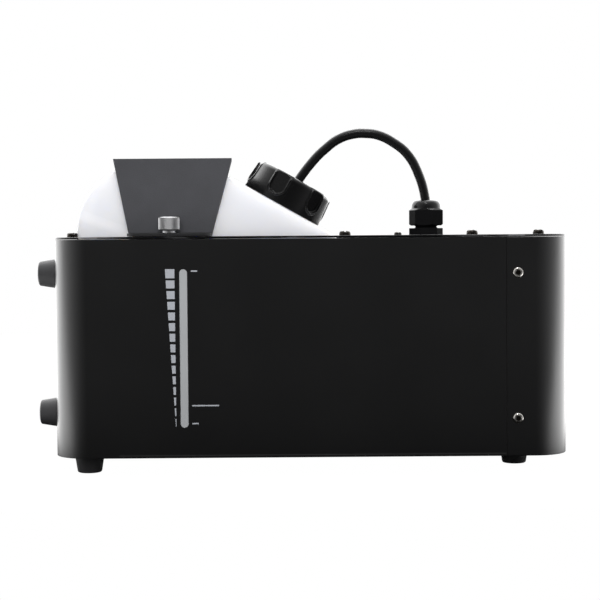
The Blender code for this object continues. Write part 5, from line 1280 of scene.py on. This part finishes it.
class FOG_OT_power_switch(Operator):
    """Make the power switch and its rocker"""

    bl_idname = "fog.power_switch"
    bl_label = "Power switch"

    def execute(self, context):
        bezel = soften(slab(0.028, 0.037, 0.002, 0.002), 0.0006, 3)
        body = put(slab(0.024, 0.033, 0.021), at(0, 0, -0.0203))
        room = put(slab(0.021, 0.030, 0.020, 0.0006), at(0, 0, -0.0103))
        frame_piece = settle(carve(carve(bezel, body, operation="UNION"), room), edge_step(0.00025, 2, 50))
        new_piece("switch_frame", put(frame_piece, on_rear("power_switch")), "case", "black_plastic",
                  ["power_switch"])
        half, tilt = 0.0142, radians(10)
        swing = half * sin(tilt)
        crown = [(half * (1 - step / 8), swing / 2 * (1 + (1 - step / 8) ** 2)) for step in range(17)]
        outline = [(-half, -0.8 * swing), (0, -1.6 * swing), (half, -0.8 * swing), *crown]
        rocker = bmesh.new()
        rocker.faces.new([rocker.verts.new((x, y, 0)) for x, y in outline])
        rocker = soften(put(raised(rocker, 0.020), at(0, 0, -0.010)), 0.0005, 3, radians(40))
        switch = middle("power_switch")
        seat = at(switch.x, REAR, switch.z, Matrix.Rotation(tilt, 4, "X") @ Matrix.Rotation(pi / 2, 4, "Y"))
        new_piece("rocker_key", put(rocker, seat), "power_rocker", "black_plastic",
                  ["power_rocker"])
        share = 0.64
        level, slope = swing / 2 * (1 + share ** 2), swing * share / half
        flat = FACING_FRONT.inverted()
        lean = Matrix.Rotation(slope, 4, "Z") @ flat
        bar = put(slab(0.0042, 0.0007, 0.0002), at(share * half, level, 0, lean))
        ring = spun([(0.0016, 0), (0.0022, 0), (0.0022, 0.0002), (0.0016, 0.0002)], 48, True)
        ring = put(ring, at(-share * half, level, 0, Matrix.Rotation(-slope, 4, "Z") @ flat))
        new_piece("rocker_marks", put(gather(bar, ring), seat), "power_rocker", "print_ink")
        return {"FINISHED"}


class FOG_OT_fuse(Operator):
    """Make the fuse holder and its slotted cap"""

    bl_idname = "fog.fuse"
    bl_label = "Fuse"

    def execute(self, context):
        profile = [(0.00425, 0.0018), (0.00825, 0.0018), (0.00825, 0.0003), (0.00625, 0.0003),
                   (0.00625, -0.030), (0.00425, -0.030)]
        holder = soften(spun(profile, AROUND, True), 0.0003, 2)
        new_piece("fuse_body", put(holder, on_rear("fuse_holder", 0)), "case", "black_plastic",
                  ["fuse_holder"])
        tip = 0.0073
        profile = [(0, tip), (0.00525, tip), (0.00605, tip - 0.0004), (0.00625, tip - 0.0012),
                   (0.00625, 0.0021), (0.00375, 0.0021), (0.00375, -0.014), (0, -0.014)]
        cap = spun(profile, 48)
        for vert in cap.verts:
            step = round(Vector((1, 0)).angle_signed(vert.co.xy, 0) * 24 / pi)
            if step % 2 and vert.co.xy.length > 0.006:
                vert.co.xy *= 0.965
        slot = block((-0.00625, -0.0007, tip - 0.0022), (0.00625, 0.0007, tip + 0.002))
        new_piece("fuse_knob", put(carve(cap, slot), on_rear("fuse_cap", 0)), "fuse_cap", "black_plastic",
                  ["fuse_cap"])
        return {"FINISHED"}


class FOG_OT_inner_works(Operator):
    """Give every solid that is shown as it is a finish for its material slot"""

    bl_idname = "fog.inner_works"
    bl_label = "Inner works"

    def execute(self, context):
        for name, node in frame["nodes"].items():
            if node.hide_render:
                continue
            slot = next(part["material_slot"] for part in frame["record"]["subparts"] if part["node"] == name)
            node.data.materials.clear()
            node.data.materials.append(bpy.data.materials[FINISH + slot])
        return {"FINISHED"}


def make_world():
    """White for the camera, a plain fill for surfaces, and brighter round the sides for reflections."""
    world = bpy.data.worlds.new("studio")
    bpy.context.scene.world = world
    studio = Network(world)
    rays = studio.node("ShaderNodeLightPath", output="Is Camera Ray")
    seen = rays + rays.other("Is Transmission Ray") > 0.5
    heading = studio.node("ShaderNodeTexCoord", output="Generated")
    forward = studio.node("ShaderNodeSeparateXYZ", None, {"Vector": heading}, "Y")
    upper = studio.ramp(forward.other("Z"), -0.15, 0.02)
    beside = studio.ramp(forward, -0.08, 0.45)
    white = studio.node("ShaderNodeBackground", None, {"Strength": 1.0, "Color": (1, 1, 1, 1)})
    fill = studio.node("ShaderNodeBackground", None, {"Strength": 0.60, "Color": (1, 1, 1, 1)})
    dark = studio.node("ShaderNodeBackground", None, {"Strength": 0.02, "Color": (1, 1, 1, 1)})
    bright = studio.node("ShaderNodeBackground", None, {"Strength": 4.2, "Color": (1, 1, 1, 1)})
    right = studio.ramp(forward.other("X"), 0.0, 0.6, 1.0, 0.72)
    mirrored = studio.choose(((forward + 1.0) * 0.36 + beside * 0.64) * right + upper * 0.016, dark, bright)
    lit = studio.choose(rays.other("Is Glossy Ray"), fill, mirrored)
    studio.node("ShaderNodeOutputWorld", None, {"Surface": studio.choose(seen, lit, white)})


def make_floor():
    """A pale floor that the camera sees as nearly white."""
    shape = put(sheet_face(2.4, 1.6, 0.0), at(0, FRONT - 0.12 + 0.8, CAD_LOW.z))
    mesh = bpy.data.meshes.new("floor")
    shape.to_mesh(mesh)
    shape.free()
    paper = bpy.data.materials.new("floor_paper")
    sheet = Network(paper)
    seen = sheet.node("ShaderNodeLightPath", output="Is Camera Ray")
    across = sheet.node("ShaderNodeSeparateXYZ", None,
                        {"Vector": sheet.node("ShaderNodeTexCoord", output="Object")}, "X")
    beside = sheet.ramp(across * across, 0.04, 0.12)
    matt = sheet.node("ShaderNodeBsdfDiffuse", None, {"Color": (0.22, 0.22, 0.22, 1)})
    dark = sheet.node("ShaderNodeEmission", None, {"Strength": 0.01})
    bright = sheet.node("ShaderNodeEmission", None, {"Strength": 4.5})
    glow = sheet.node("ShaderNodeEmission", None, {"Strength": 1.04})
    mirrored = sheet.choose(seen.other("Is Glossy Ray"), matt, sheet.choose(beside, dark, bright))
    sheet.node("ShaderNodeOutputMaterial", None, {"Surface": sheet.choose(seen * 0.96, mirrored, glow)})
    mesh.materials.append(paper)
    floor = bpy.data.objects.new("floor", mesh)
    bpy.context.scene.collection.objects.link(floor)


def make_panel_light(name, place, target, size, power):
    """A square soft lamp turned towards a target."""
    data = bpy.data.lights.new(name, "AREA")
    data.size = size
    data.energy = power
    lamp = bpy.data.objects.new(name, data)
    lamp.location = place
    lamp.rotation_euler = (Vector(target) - Vector(place)).to_track_quat("-Z", "Y").to_euler()
    bpy.context.scene.collection.objects.link(lamp)


class FOG_OT_stage(Operator):
    """Make the floor, the studio light and the camera"""

    bl_idname = "fog.stage"
    bl_label = "Stage"

    def execute(self, context):
        scene = context.scene
        studio = scene.fog_studio
        make_world()
        make_floor()
        make_panel_light("overhead", (0.0, 0.05, 1.30), (0.0, 0.0, 0.0), 1.3, studio.overhead)
        make_panel_light("glint", (0.05, -0.80, 1.20), (0.0, 0.0, 0.15), 0.22, studio.glint)
        make_panel_light("front_fill", (-0.10, -1.60, 0.85), (0.0, FRONT, 0.08), 1.0, studio.fill)
        bpy.data.objects["front_fill"].visible_glossy = False
        data = bpy.data.cameras.new("camera")
        data.lens = studio.lens
        camera = bpy.data.objects.new("camera", data)
        camera.matrix_world = (at(-0.0005, FRONT - studio.distance, studio.height)
                               @ Matrix.Rotation(pi / 2 - studio.pitch, 4, "X")
                               @ Matrix.Rotation(-studio.roll, 4, "Z"))
        scene.collection.objects.link(camera)
        scene.camera = camera
        scene.view_settings.view_transform = "Standard"
        return {"FINISHED"}


OPERATORS = (FOG_OT_tank_hose, FOG_OT_side_shell, FOG_OT_end_cover, FOG_OT_top_plate, FOG_OT_plate_screws,
             FOG_OT_feet, FOG_OT_cover_screws, FOG_OT_level_window, FOG_OT_fluid_tank, FOG_OT_tank_cap,
             FOG_OT_tank_strap, FOG_OT_thumbscrews, FOG_OT_gland, FOG_OT_nozzle_end, FOG_OT_control_panel,
             FOG_OT_signal_sockets, FOG_OT_mains_inlet, FOG_OT_power_switch, FOG_OT_fuse,
             FOG_OT_inner_works, FOG_OT_stage)
GROUPS = {"fog_case": FogCase, "fog_tank": FogTank, "fog_colours": FogColours, "fog_studio": FogStudio}


class FOG_PT_panel(Panel):
    """Sizes, colours and steps of the fog machine"""

    bl_idname = "FOG_PT_panel"
    bl_label = "Fog machine"
    bl_space_type = "VIEW_3D"
    bl_region_type = "UI"
    bl_category = "Fog machine"

    def draw(self, context):
        for group, kind in GROUPS.items():
            column = self.layout.column(align=True)
            for name in kind.__annotations__:
                column.prop(getattr(context.scene, group), name)
        for step in OPERATORS:
            self.layout.operator(step.bl_idname)


def register():
    for kind in (*GROUPS.values(), *OPERATORS, FOG_PT_panel):
        bpy.utils.register_class(kind)
    for name, kind in GROUPS.items():
        setattr(bpy.types.Scene, name, PointerProperty(type=kind))


def unregister():
    for name in GROUPS:
        delattr(bpy.types.Scene, name)
    for kind in reversed((*GROUPS.values(), *OPERATORS, FOG_PT_panel)):
        bpy.utils.unregister_class(kind)


def main():
    register()
    make_finishes(bpy.context.scene.fog_colours)
    for step in OPERATORS:
        family, name = step.bl_idname.split(".")
        getattr(getattr(bpy.ops, family), name)()


if __name__ == "__main__":
    main()
